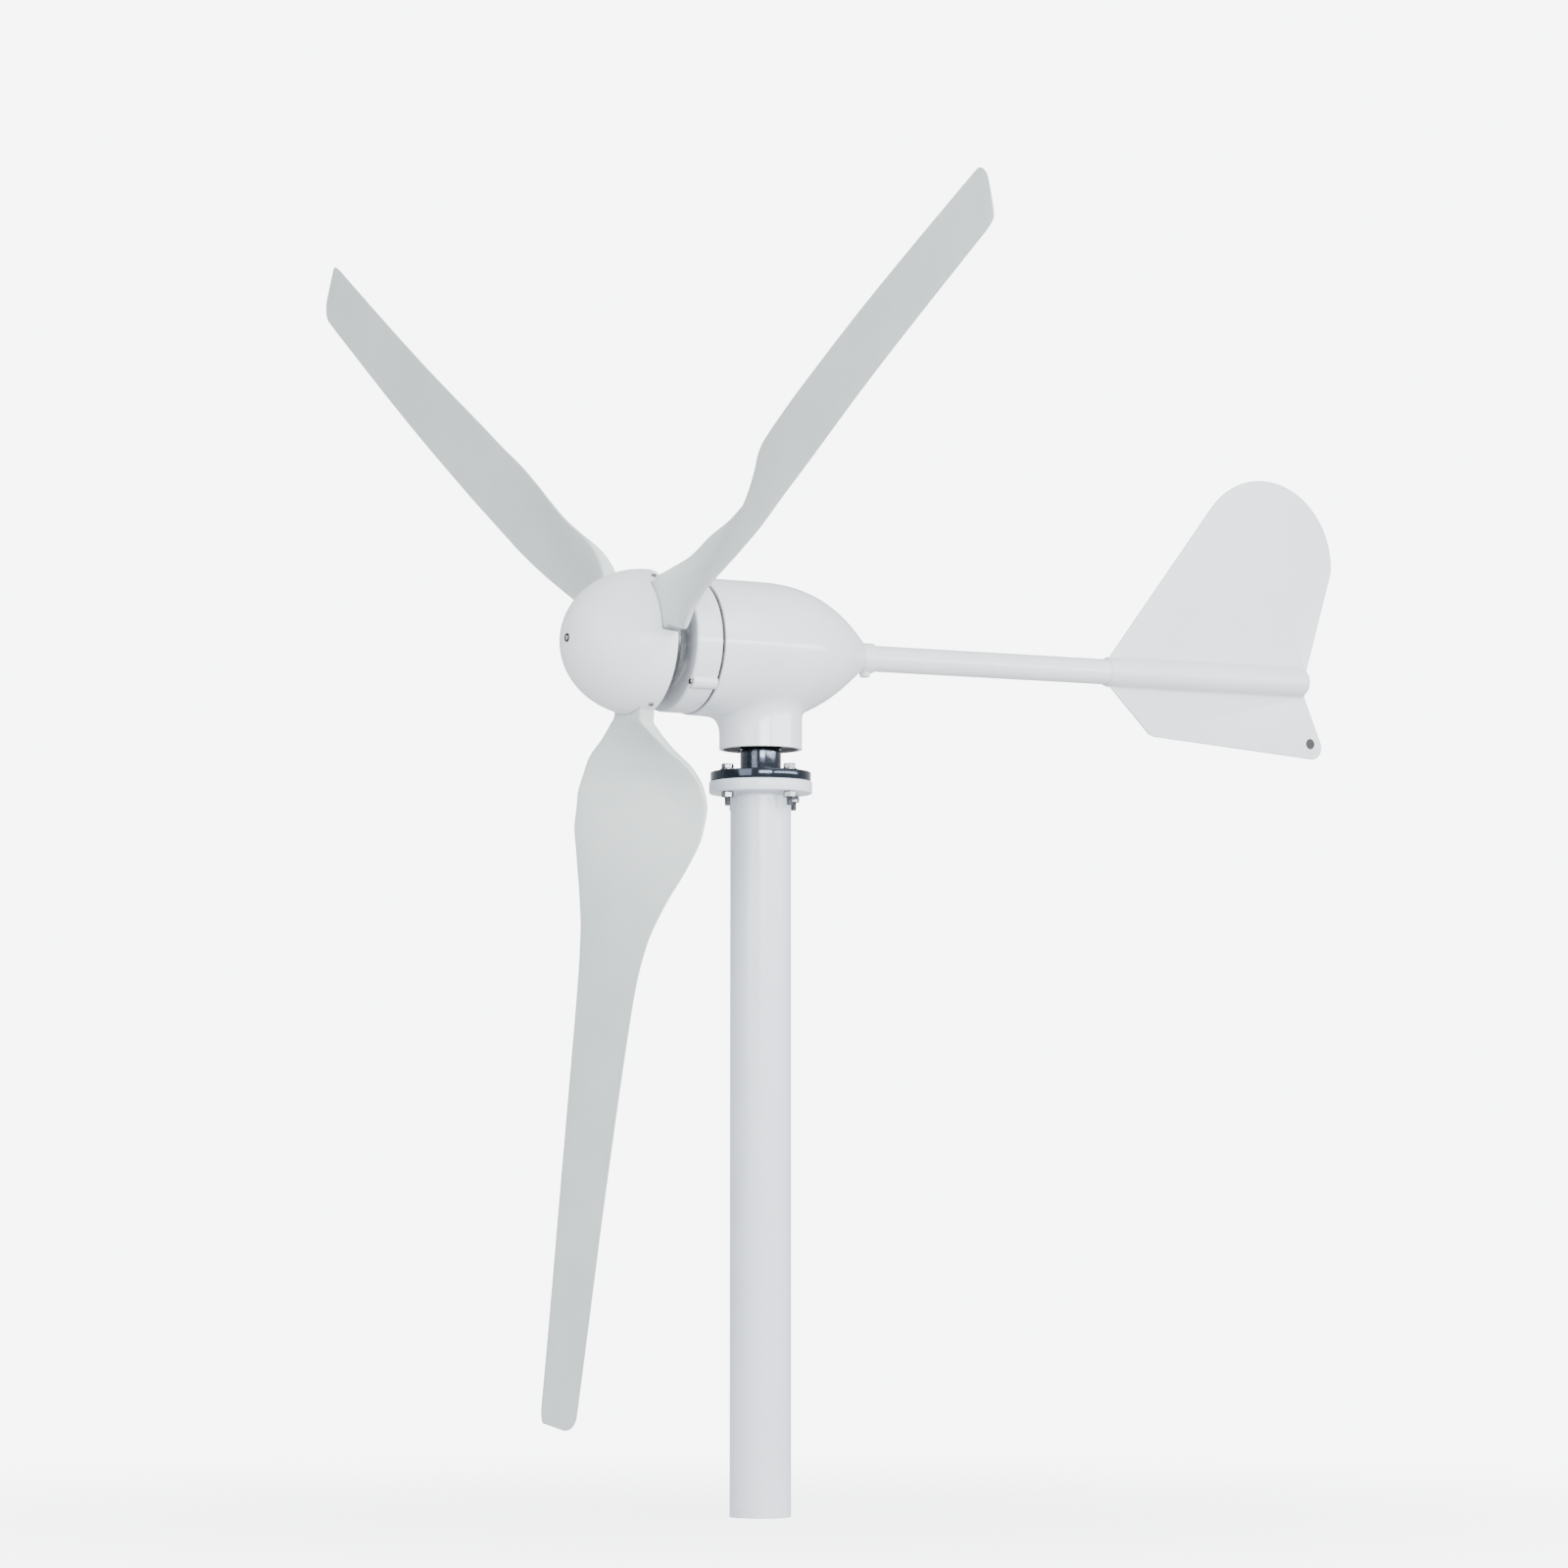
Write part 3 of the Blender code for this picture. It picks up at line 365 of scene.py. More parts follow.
def blade_moulding():
    """Satin fibre-filled moulding: fibres drawn along the span, a scuffed leading edge, faint flow marks."""
    mat, tree, shader = principled("blade_moulding_fine", coat=0.08, coat_rough=0.25)
    span = node(tree, "ShaderNodeUVMap", {"uv_map": "span"}).outputs[0]
    stretched = node(tree, "ShaderNodeMapping", {}, Vector=span, Scale=(900.0, 26.0, 1.0)).outputs[0]
    fibres = noise(tree, 1.0, 4.0, 0.65, stretched)
    clouds = noise(tree, 14.0, 5.0, 0.55)
    scuff = times(tree, attribute(tree, "lead"), spread(tree, noise(tree, 180.0, 5.0, 0.7), 0.45, 0.7))
    wear = use(tree, WEAR, Break_Scale=300.0, Dust_Scale=22.0)
    ground = mix(tree, spread(tree, clouds, 0.3, 0.72), (0.545, 0.602, 0.594), (0.592, 0.647, 0.638))
    fibred = mix(tree, times(tree, spread(tree, fibres, 0.5, 0.8), 0.28), ground, (0.64, 0.685, 0.675))
    scuffed = mix(tree, times(tree, scuff, 0.5), fibred, (0.42, 0.44, 0.42))
    dusty = mix(tree, times(tree, wear["Dust"], 0.12), scuffed, (0.46, 0.44, 0.40))
    sheen = spread(tree, clouds, 0.25, 0.75, 0.34, 0.46)
    give(tree, shader, Base_Color=dusty, Roughness=calc(tree, "ADD", sheen, times(tree, scuff, 0.2)))
    height = calc(tree, "ADD", times(tree, fibres, 0.6), times(tree, noise(tree, 700.0, 2.0), 0.4))
    bump(tree, shader, height, 0.30, 0.00008)
    return mat


def bare_metal(name, colour, shade, rough, lines, line, relief=0.00003, tarnish=(0.3, 0.27, 0.24)):
    """Turned or ground metal: fine lines round its line, streaky roughness, bright edges, light tarnish."""
    mat, tree, shader = principled(name, metallic=1.0)
    turn = use(tree, TURNING, Line_Scale=lines, Across=line[0], Centre=line[1])
    wear = use(tree, WEAR, Break_Scale=420.0, Dust_Scale=90.0)
    spots = spread(tree, noise(tree, 75.0, 5.0, 0.65), 0.52, 0.75)
    base = mix(tree, spread(tree, turn["Streak"], 0.3, 0.7), colour, shade)
    spotted = mix(tree, times(tree, spots, 0.22), base, tarnish)
    bright = tuple(min(1.0, channel * 1.25 + 0.08) for channel in colour)
    sheen = spread(tree, turn["Streak"], 0.25, 0.75, *rough)
    give(tree, shader, Base_Color=mix(tree, times(tree, wear["Edge"], 0.6), spotted, bright),
         Roughness=calc(tree, "ADD", sheen, times(tree, spots, 0.10)))
    bump(tree, shader, turn["Height"], 0.5, relief)
    return mat


def moulded(name, colour, shade, rough, grain=1200.0):
    """Matt moulded or pressed stuff with a fine grain."""
    mat, tree, shader = principled(name)
    skin = use(tree, PAINT_SKIN, Peel_Scale=grain, Mottle_Scale=60.0)
    wear = use(tree, WEAR, Break_Scale=350.0, Dust_Scale=60.0)
    base = mix(tree, spread(tree, skin["Mottle"], 0.3, 0.7), colour, shade)
    pale = tuple(min(1.0, channel + 0.10) for channel in colour)
    give(tree, shader, Base_Color=mix(tree, times(tree, wear["Edge"], 0.5), base, pale),
         Roughness=spread(tree, skin["Mottle"], 0.3, 0.7, *rough))
    bump(tree, shader, skin["Height"], 0.5, 0.00006)
    return mat


def layered(name, colour, shade, direction, scale, rough, metallic):
    """Stacked sheets or wound strands: fine bands along a direction."""
    mat, tree, shader = principled(name, metallic=metallic)
    wave = calc(tree, "SINE", times(tree, vector(tree, "DOT_PRODUCT", here(tree), direction), scale))
    mottle = noise(tree, 55.0, 5.0, 0.6)
    band = spread(tree, wave, -1.0, 1.0)
    give(tree, shader, Base_Color=mix(tree, times(tree, band, mottle), colour, shade),
         Roughness=spread(tree, mottle, 0.3, 0.7, *rough))
    bump(tree, shader, band, 0.6, 0.00012)
    return mat


# The parts of a place that lie across a line, and a point on that line
MAST_LINE = ((1.0, 1.0, 0.0), (0.0, 0.0, 0.0))
ROTOR_LINE = ((1.0, 0.0, 1.0), (0.0, 0.0, AXIS_HEIGHT))
ALONG_ROTOR, ALONG_COIL = (0.0, 1.0, 0.0), (0.6, 1.0, 0.8)
FINISH = {
    "mast": gloss_paint("mast_powder_coat", (0.660, 0.705, 0.785), (0.625, 0.668, 0.745), (0.26, 0.38),
                        1100.0, 0.15),
    "casting": gloss_paint("white_casting_coat", (0.735, 0.768, 0.825), (0.700, 0.733, 0.790), (0.20, 0.30),
                           700.0, 0.35, 0.00009),
    "nose": gloss_paint("nose_moulding_gloss", (0.815, 0.835, 0.875), (0.785, 0.806, 0.848), (0.40, 0.48),
                        1300.0, 0.06),
    "vane": gloss_paint("vane_moulding_satin", (0.700, 0.735, 0.785), (0.675, 0.710, 0.760), (0.36, 0.46),
                        800.0, 0.10),
    "blade": blade_moulding(),
    "dark": bare_metal("blued_steel", (0.030, 0.037, 0.050), (0.037, 0.044, 0.058), (0.07, 0.13), 1500.0,
                       MAST_LINE, 0.000006, (0.026, 0.031, 0.042)),
    "zinc": bare_metal("zinc_plate_fine", (0.22, 0.23, 0.25), (0.31, 0.31, 0.32), (0.18, 0.34), 2500.0,
                       MAST_LINE),
    "bolt": bare_metal("bolt_steel_fine", (0.115, 0.122, 0.135), (0.190, 0.196, 0.210), (0.12, 0.24), 2500.0,
                       MAST_LINE, tarnish=(0.10, 0.10, 0.10)),
    "alloy": bare_metal("dark_alloy_turned", (0.085, 0.091, 0.102), (0.130, 0.138, 0.150), (0.30, 0.46),
                        1300.0, ROTOR_LINE, tarnish=(0.04, 0.04, 0.04)),
    "ground": bare_metal("ground_steel_fine", (0.52, 0.53, 0.55), (0.62, 0.63, 0.64), (0.18, 0.32), 3000.0,
                         ROTOR_LINE),
    "ball": bare_metal("ball_steel_fine", (0.66, 0.67, 0.69), (0.74, 0.75, 0.76), (0.08, 0.16), 800.0,
                       ROTOR_LINE, 0.00001),
    "bronze": bare_metal("sintered_bronze", (0.52, 0.36, 0.16), (0.62, 0.45, 0.22), (0.36, 0.50), 2000.0,
                         MAST_LINE),
    "copper": layered("wound_copper", (0.62, 0.27, 0.12), (0.80, 0.42, 0.24), ALONG_COIL, 5200.0,
                      (0.24, 0.40), 1.0),
    "laminations": layered("stacked_laminations", (0.26, 0.27, 0.29), (0.40, 0.41, 0.43), ALONG_ROTOR, 9000.0,
                           (0.38, 0.55), 0.85),
    "magnet": layered("nickel_magnets", (0.46, 0.46, 0.45), (0.56, 0.55, 0.52), ALONG_ROTOR, 700.0,
                      (0.20, 0.34), 1.0),
    "black": moulded("black_moulding_fine", (0.030, 0.031, 0.034), (0.045, 0.046, 0.050), (0.42, 0.56)),
    "carbon": moulded("carbon_block", (0.040, 0.040, 0.042), (0.075, 0.073, 0.070), (0.58, 0.76), 2600.0),
    "rubber": moulded("seal_rubber", (0.016, 0.016, 0.018), (0.028, 0.028, 0.030), (0.50, 0.66), 1700.0),
}


# ---- geometry trees
def geometry_tree(name, inputs):
    """A geometry group that a modifier can run."""
    tree, source, sink = group(name, [("Geometry", "Geometry", None), *inputs], [("Geometry", "Geometry")],
                               "GeometryNodeTree")
    tree.is_modifier = True
    return tree, source, sink


def end_tree(tree, sink, geometry, finish):
    """Every tree ends in real geometry with its material set."""
    real = node(tree, "GeometryNodeRealizeInstances", {}, Geometry=geometry)
    painted = node(tree, "GeometryNodeSetMaterial", {}, Geometry=real.outputs[0], Material=finish)
    give(tree, sink, Geometry=painted.outputs[0])


def fastener_circle_tree():
    """Copies of the modified piece set evenly round a circle, each turned to face outwards."""
    tree, source, sink = geometry_tree("fastener_circle", [
        ("Count", "Int", 4), ("Pitch Radius", "Float", 0.04), ("Aside", "Float", 0.0),
        ("Start Angle", "Float", 0.0), ("Finish", "Material", None)])
    line = node(tree, "GeometryNodePoints", {}, Count=source["Count"])
    index = node(tree, "GeometryNodeInputIndex").outputs[0]
    step = calc(tree, "DIVIDE", math.tau, source["Count"])
    turn = calc(tree, "MULTIPLY_ADD", index, step, source["Start Angle"])
    arm = node(tree, "ShaderNodeCombineXYZ", {}, X=source["Pitch Radius"], Y=source["Aside"]).outputs[0]
    spot = node(tree, "ShaderNodeVectorRotate", {"rotation_type": "Z_AXIS"},
                Vector=arm, Angle=turn).outputs[0]
    placed = node(tree, "GeometryNodeSetPosition", {}, Geometry=line.outputs[0], Position=spot)
    facing = node(tree, "ShaderNodeCombineXYZ", {}, Z=turn).outputs[0]
    copies = node(tree, "GeometryNodeInstanceOnPoints", {}, Points=placed.outputs[0],
                  Instance=source["Geometry"], Rotation=facing)
    end_tree(tree, sink, copies.outputs[0], source["Finish"])
    return tree


def nose_tree():
    """Half an ellipsoid whose rim steps forward at each blade: a grid bent round by a rule."""
    tree, source, sink = geometry_tree("nose_shell", [
        ("Radius", "Float", 0.07), ("Rim", "Float", 0.0), ("Tip", "Float", -0.08),
        ("Notch Rim", "Float", -0.01), ("Notch Half", "Float", 0.4),
        ("Notch Start", "Float", 0.0), ("Notches", "Int", 3), ("Columns", "Int", 360),
        ("Rows", "Int", 40), ("Finish", "Material", None)])

    def number(operation, *values):
        return calc(tree, operation, *values)

    grid = node(tree, "GeometryNodeMeshGrid", {}, Size_X=1.0, Size_Y=1.0,
                Vertices_X=number("ADD", source["Columns"], 1.0), Vertices_Y=source["Rows"])
    place = node(tree, "ShaderNodeSeparateXYZ", {}, Vector=node(tree, "GeometryNodeInputPosition").outputs[0])
    round_part = number("ADD", place.outputs["X"], 0.5)
    down_part = number("ADD", place.outputs["Y"], 0.5)
    angle = number("MULTIPLY", round_part, math.tau)
    pitch = number("DIVIDE", math.tau, source["Notches"])
    shifted = number("ADD", number("SUBTRACT", angle, source["Notch Start"]), number("MULTIPLY", pitch, 2.5))
    half_pitch = number("MULTIPLY", pitch, 0.5)
    nearest = number("ABSOLUTE", number("SUBTRACT", number("MODULO", shifted, pitch), half_pitch))
    corner = 0.035
    ramp = node(tree, "ShaderNodeMapRange", {"interpolation_type": "SMOOTHSTEP"}, Value=nearest,
                From_Min=source["Notch Half"], From_Max=number("ADD", source["Notch Half"], corner),
                To_Min=source["Notch Rim"], To_Max=source["Rim"]).outputs[0]
    depth = number("SUBTRACT", source["Tip"], source["Rim"])
    end = number("ARCCOSINE", number("DIVIDE", number("SUBTRACT", ramp, source["Rim"]), depth))
    swing = number("MULTIPLY", number("POWER", down_part, 0.9), end)
    reach = number("MULTIPLY", number("SINE", swing), source["Radius"])
    height = number("MULTIPLY_ADD", number("COSINE", swing), depth, source["Rim"])
    spot = node(tree, "ShaderNodeCombineXYZ", {}, X=number("MULTIPLY", reach, number("COSINE", angle)),
                Y=number("MULTIPLY", reach, number("SINE", angle)), Z=height).outputs[0]
    bent = node(tree, "GeometryNodeSetPosition", {}, Geometry=grid.outputs["Mesh"], Position=spot)
    sealed = node(tree, "GeometryNodeMergeByDistance", {}, Geometry=bent.outputs[0], Distance=0.00001)
    end_tree(tree, sink, sealed.outputs[0], source["Finish"])
    return tree


def run_tree(item, tree, finish, **values):
    """Give a piece the tree's result as its plain mesh."""
    mod = item.modifiers.new(tree.name, "NODES")
    mod.node_group = tree
    sockets = {socket.name: socket.identifier for socket in tree.interface.items_tree
               if socket.item_type == "SOCKET" and socket.in_out == "INPUT"}
    mod[sockets["Finish"]] = FINISH[finish]
    for key, value in values.items():
        mod[sockets[key.replace("_", " ")]] = value
    settle(item)


FASTENER_CIRCLE, NOSE_SHELL = fastener_circle_tree(), nose_tree()


def fastener_ring(name, bm, before, after, finish, body, stands_for, **values):
    """Fasteners round a circle as one finished piece, placed before and after they are repeated."""
    item = as_object(name, bm, before)
    run_tree(item, FASTENER_CIRCLE, finish, **values)
    item.data.transform(after)
    dress(item, finish, body, stands_for, 25)


# ---- mast and yaw base
IN_PLACE, TURNED_OVER = Matrix(), Matrix.Rotation(math.pi, 4, "X")
FLANGE_THICK, SHOULDER_Z = 0.009, AXIS_HEIGHT - 0.0952


def rounded_ring(inner, outer, low, high, edge, steps):
    """Closed profile of a ring whose outer corners are rounded."""
    return [(inner, low), *arc((outer - edge, low + edge), edge, -90, 0, steps),
            *arc((outer - edge, high - edge), edge, 0, 90, steps), (inner, high)]


def threaded(radius, low, high, turns, depth):
    """Profile points of a threaded stretch, from low to high."""
    return [(radius - depth * ((k + 1) % 2), low + (high - low) * k / (2 * turns))
            for k in range(2 * turns + 1)]


def hex_bolt(head_low, head_high, flat, shank, end, washer):
    """Flanged hex bolt along Z, head up: washer face, chamfered corners, dished top, threaded tail."""
    dish = head_high - 0.08 * (head_high - head_low)
    return turned([(0, end), (shank * 0.7, end), *threaded(shank, end + 0.0006, end + 0.012, 11, 0.0003),
                   (shank, end + 0.0125), (shank, head_low), (washer, head_low), (washer, head_low + 0.0007),
                   (flat * 1.04, head_low + 0.0016), (("hex", flat), head_low + 0.0016),
                   (("hex", flat), head_high - 0.0008), (flat, head_high - 0.0001), (flat * 0.82, head_high),
                   (flat * 0.70, dish), (0, dish)], 48)


def hex_nut(low, high, flat, bore):
    return turned([(bore, low), (flat * 0.93, low), (("hex", flat), low + 0.0007),
                   (("hex", flat), high - 0.0007), (flat * 0.93, high), (bore, high)], 48, closed=True)


def socket_screw(head_low, head_high, radius, shank, end, socket):
    """Cap screw along Z with its head down at head_low and a hexagon socket in it."""
    deep, edge = (head_high - head_low) * 0.7, radius * 0.14
    return turned([(0, head_low + deep), (("hex", socket), head_low + deep),
                   (("hex", socket), head_low + 0.0001), (socket * 1.25, head_low), (radius - edge, head_low),
                   *arc((radius - edge, head_low + edge), edge, -90, 0, 3),
                   (radius, head_high), (shank, head_high), (shank, end), (0, end)], 36)


def build_mast():
    low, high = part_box("mast_tube")
    radius, wall, lip = high.x, 0.003, 0.0006
    profile = [(radius - wall, low.z + lip), (radius - wall + lip, low.z), (radius - lip, low.z),
               (radius, low.z + lip), *((radius, low.z + (high.z - low.z) * k / 12) for k in range(1, 12)),
               (radius, high.z - lip), (radius - lip, high.z), (radius - wall, high.z)]
    ring_piece("mast_tube_fine", profile, 160, IN_PLACE, "mast", "mast", ["mast_tube"])
    ring_low, ring_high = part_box("mast_flange")
    flange = rounded_ring(radius + 0.0002, ring_high.x, ring_low.z, ring_high.z, 0.0016, 5)
    ring_piece("mast_flange_fine", flange, 160, IN_PLACE, "mast", "mast", ["mast_flange"])
    throat, ripple_high, ripples = 0.0034, 0.00022, 60
    hollow = arc((radius + throat, ring_low.z - throat), throat * 0.97, 180, 90, 5)
    bead = turned([(radius + 0.0001, ring_low.z - throat), *hollow, (radius + throat, ring_low.z + 0.0003),
                   (radius + 0.0001, ring_low.z + 0.0003)], 240, closed=True)
    for vert in bead.verts:
        if vert.co.z < ring_low.z:
            ripple = ripple_high * math.sin(math.atan2(vert.co.y, vert.co.x) * ripples + vert.co.z * 900)
            vert.co.x *= 1 + ripple / radius
            vert.co.y *= 1 + ripple / radius
    dress(as_object("flange_weld", bead), "mast", "mast")


def build_yaw_base():
    """Flange with a groove round its stub, a shoulder under the bearing, and a threaded top."""
    low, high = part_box("yaw_base")
    flange_r, stub, bore, seat_r, thread_r, edge = high.x, 0.02025, 0.008, 0.0175, 0.0125, 0.0011
    top, shoulder, seat_top, groove = low.z + FLANGE_THICK, SHOULDER_Z, AXIS_HEIGHT - 0.0642, stub - 0.0012
    profile = [*rounded_ring(bore, flange_r, low.z, top, edge, 4)[:-1], (stub + 0.0065, top),
               (stub + 0.0062, top + 0.0012), (stub + 0.0024, top + 0.0012),
               *arc((stub + 0.0020, top + 0.0032), 0.0020, -90, -180, 4),
               (stub, shoulder - 0.0060), (groove, shoulder - 0.0054), (groove, shoulder - 0.0034),
               (stub, shoulder - 0.0028), (stub, shoulder - 0.0006), (stub - 0.0006, shoulder),
               (seat_r, shoulder), (seat_r, seat_top), (thread_r, seat_top)]
    profile += [(thread_r - 0.0006 * (k % 2), seat_top + 0.0002 + (high.z - seat_top - 0.0002) * k / 12)
                for k in range(13)]
    ring_piece("yaw_base_fine", profile + [(bore, high.z)], 160, IN_PLACE, "dark", "mast", ["yaw_base"])


def build_flange_bolts():
    low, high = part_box("flange_bolt_1")
    centre = ((low.x + high.x) / 2, (low.y + high.y) / 2)
    circle = {"Count": 4, "Pitch_Radius": math.hypot(*centre),
              "Start_Angle": math.atan2(centre[1], centre[0])}
    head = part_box("yaw_base")[0].z + FLANGE_THICK
    bolt = hex_bolt(head + 0.0001, high.z + 0.0004, 0.0054, 0.0030, low.z, 0.0072)
    fastener_ring("flange_bolts", bolt, IN_PLACE, IN_PLACE, "bolt", "mast",
                  [f"flange_bolt_{k}" for k in range(1, 5)], **circle)
    low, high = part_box("flange_nut_1")
    fastener_ring("flange_nuts", hex_nut(low.z, high.z + 0.0002, 0.0053, 0.0031), IN_PLACE, IN_PLACE, "bolt",
                  "mast", [f"flange_nut_{k}" for k in range(1, 5)], **circle)


# ---- housing
HOUSING_R, SEAM_Y, HOUSING_END_Y = 0.0687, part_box("nacelle_housing")[0].y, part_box("nacelle_housing")[1].y
NECK_R, NECK_BOTTOM = 0.0412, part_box("nacelle_housing")[0].z
TAPER_START, TAPER_END, TAPER_POWER, TAPER_BEND, TAIL_R = -0.0037, 0.1138, 2.27, 1.083, 0.0160


def housing_radius(y):
    """Radius of the bullet at a place along the axis."""
    if y <= TAPER_START:
        return HOUSING_R - 0.0006 * ((TAPER_START - y) / (TAPER_START - SEAM_Y)) ** 2
    return TAIL_R + (HOUSING_R - TAIL_R) * (1 - taper_part(y) ** TAPER_POWER) ** TAPER_BEND


def taper_part(y):
    return min(max((y - TAPER_START) / (TAPER_END - TAPER_START), 0.0), 1.0)


def housing_rise(y):
    """How far the bullet's middle lies above the axis."""
    part = taper_part(y)
    return 0.0035 * part ** 2 * (1 - 0.6 * part ** 6)


def on_bullet(x, y):
    """A point on the underside of the bullet, relative to the axis."""
    reach = housing_radius(y)
    return Vector((x, y, housing_rise(y) - math.sqrt(max(reach * reach - x * x, 1e-6))))


def build_housing():
    """A grid round the bullet, opened below and drawn down into the neck through a smooth fillet."""
    columns, hole_columns, hole_rows = 32, 4, 8
    front, back = -0.060, 0.050
    rows = [SEAM_Y, SEAM_Y + 0.002, SEAM_Y + 0.009]
    rows += [front + (back - front) * k / hole_rows for k in range(hole_rows + 1)]
    rows += [back + (HOUSING_END_Y - back) * part for part in (0.17, 0.34, 0.5, 0.66, 0.8, 0.92, 1.0)]
    first = 3
    bm = bmesh.new()
    grid = []
    for y in rows:
        reach = housing_radius(y)
        grid.append([bm.verts.new((reach * math.sin(a), y, housing_rise(y) - reach * math.cos(a)))
                     for a in (math.tau * k / columns for k in range(columns))])
    inside = set(range(-hole_columns, hole_columns))
    for i in range(len(rows) - 1):
        for k in range(columns):
            column = k if k < columns / 2 else k - columns
            if first <= i < first + hole_rows and column in inside:
                continue
            n = (k + 1) % columns
            bm.faces.new((grid[i][k], grid[i][n], grid[i + 1][n], grid[i + 1][k]))
    for i in range(first + 1, first + hole_rows):
        for k in range(-hole_columns + 1, hole_columns):
            bm.verts.remove(grid[i][k])
    rim = [grid[first][k] for k in range(-hole_columns, hole_columns)]
    rim += [grid[i][hole_columns] for i in range(first, first + hole_rows)]
    rim += [grid[first + hole_rows][k] for k in range(hole_columns, -hole_columns, -1)]
    rim += [grid[i][-hole_columns] for i in range(first + hole_rows, first, -1)]
    count = len(rim)
    for index, vert in enumerate(rim):
        angle = math.tau * (index - hole_columns) / count
        forward = math.cos(angle)
        reach = 0.0500 + (0.0045 * forward if forward > 0 else 0.0040 * forward)
        vert.co = on_bullet(reach * math.sin(angle), -reach * math.cos(angle))
    relax(bm, set(rim))
    fillet_drop = 0.017
    rings = [rim]
    for part in (0.3, 0.6, 0.85, 1.0):
        ring = []
        for index in range(count):
            angle = math.tau * (index - hole_columns) / count
            foot = Vector((NECK_R * math.sin(angle), -NECK_R * math.cos(angle), 0))
            corner = on_bullet(foot.x, foot.y)
            forward = max(math.cos(angle), 0.0)
            below = Vector((foot.x, foot.y, min(corner.z, -0.058) - fillet_drop * (0.45 + 0.75 * forward)))
            spot = (rim[index].co * (1 - part) ** 2 + corner * 2 * part * (1 - part) + below * part ** 2)
            ring.append(bm.verts.new(spot))
        rings.append(ring)
    bottom = NECK_BOTTOM - AXIS_HEIGHT
    for height in (bottom + 0.006, bottom + 0.0016, bottom):
        ring = []
        for index in range(count):
            angle = math.tau * (index - hole_columns) / count
            ring.append(bm.verts.new((NECK_R * math.sin(angle), -NECK_R * math.cos(angle), height)))
        rings.append(ring)
    for low, high in zip(rings, rings[1:]):
        bridge(bm, low, high)
    item = as_object("housing_shell", bm, Matrix.Translation((0, 0, AXIS_HEIGHT)))
    smooth = item.modifiers.new("smooth", "SUBSURF")
    smooth.levels = smooth.render_levels = 3
    shell = item.modifiers.new("wall", "SOLIDIFY")
    shell.thickness, shell.offset = 0.0036, -1
    shell.use_even_offset = False
    bevelled(item, 0.0007, 3, 50)
    dress(item, "casting", "head", ["nacelle_housing"])


def relax(bm, fixed):
    """Ease the grid round the opening, keeping it on the bullet."""
    bm.verts.ensure_lookup_table()
    moving = [v for v in bm.verts if v not in fixed and v.co.z < -0.005
              and min(v.co.y - SEAM_Y, HOUSING_END_Y - v.co.y) > 0.004]
    for _ in range(12):
        spots = {v: sum((e.other_vert(v).co for e in v.link_edges), Vector()) / len(v.link_edges)
                 for v in moving}
        for vert, spot in spots.items():
            mean = vert.co.lerp(spot, 0.5)
            rise = housing_rise(mean.y)
            scale = housing_radius(mean.y) / math.hypot(mean.x, mean.z - rise)
            vert.co = (mean.x * scale, mean.y, rise + (mean.z - rise) * scale)


# ---- front cover
COVER_SCREW_R, COVER_FRONT_Y, COVER_R = 0.0659, -0.1087, 0.0663
LUG_ANGLES = [math.radians(39 + 120 * k) for k in range(3)]


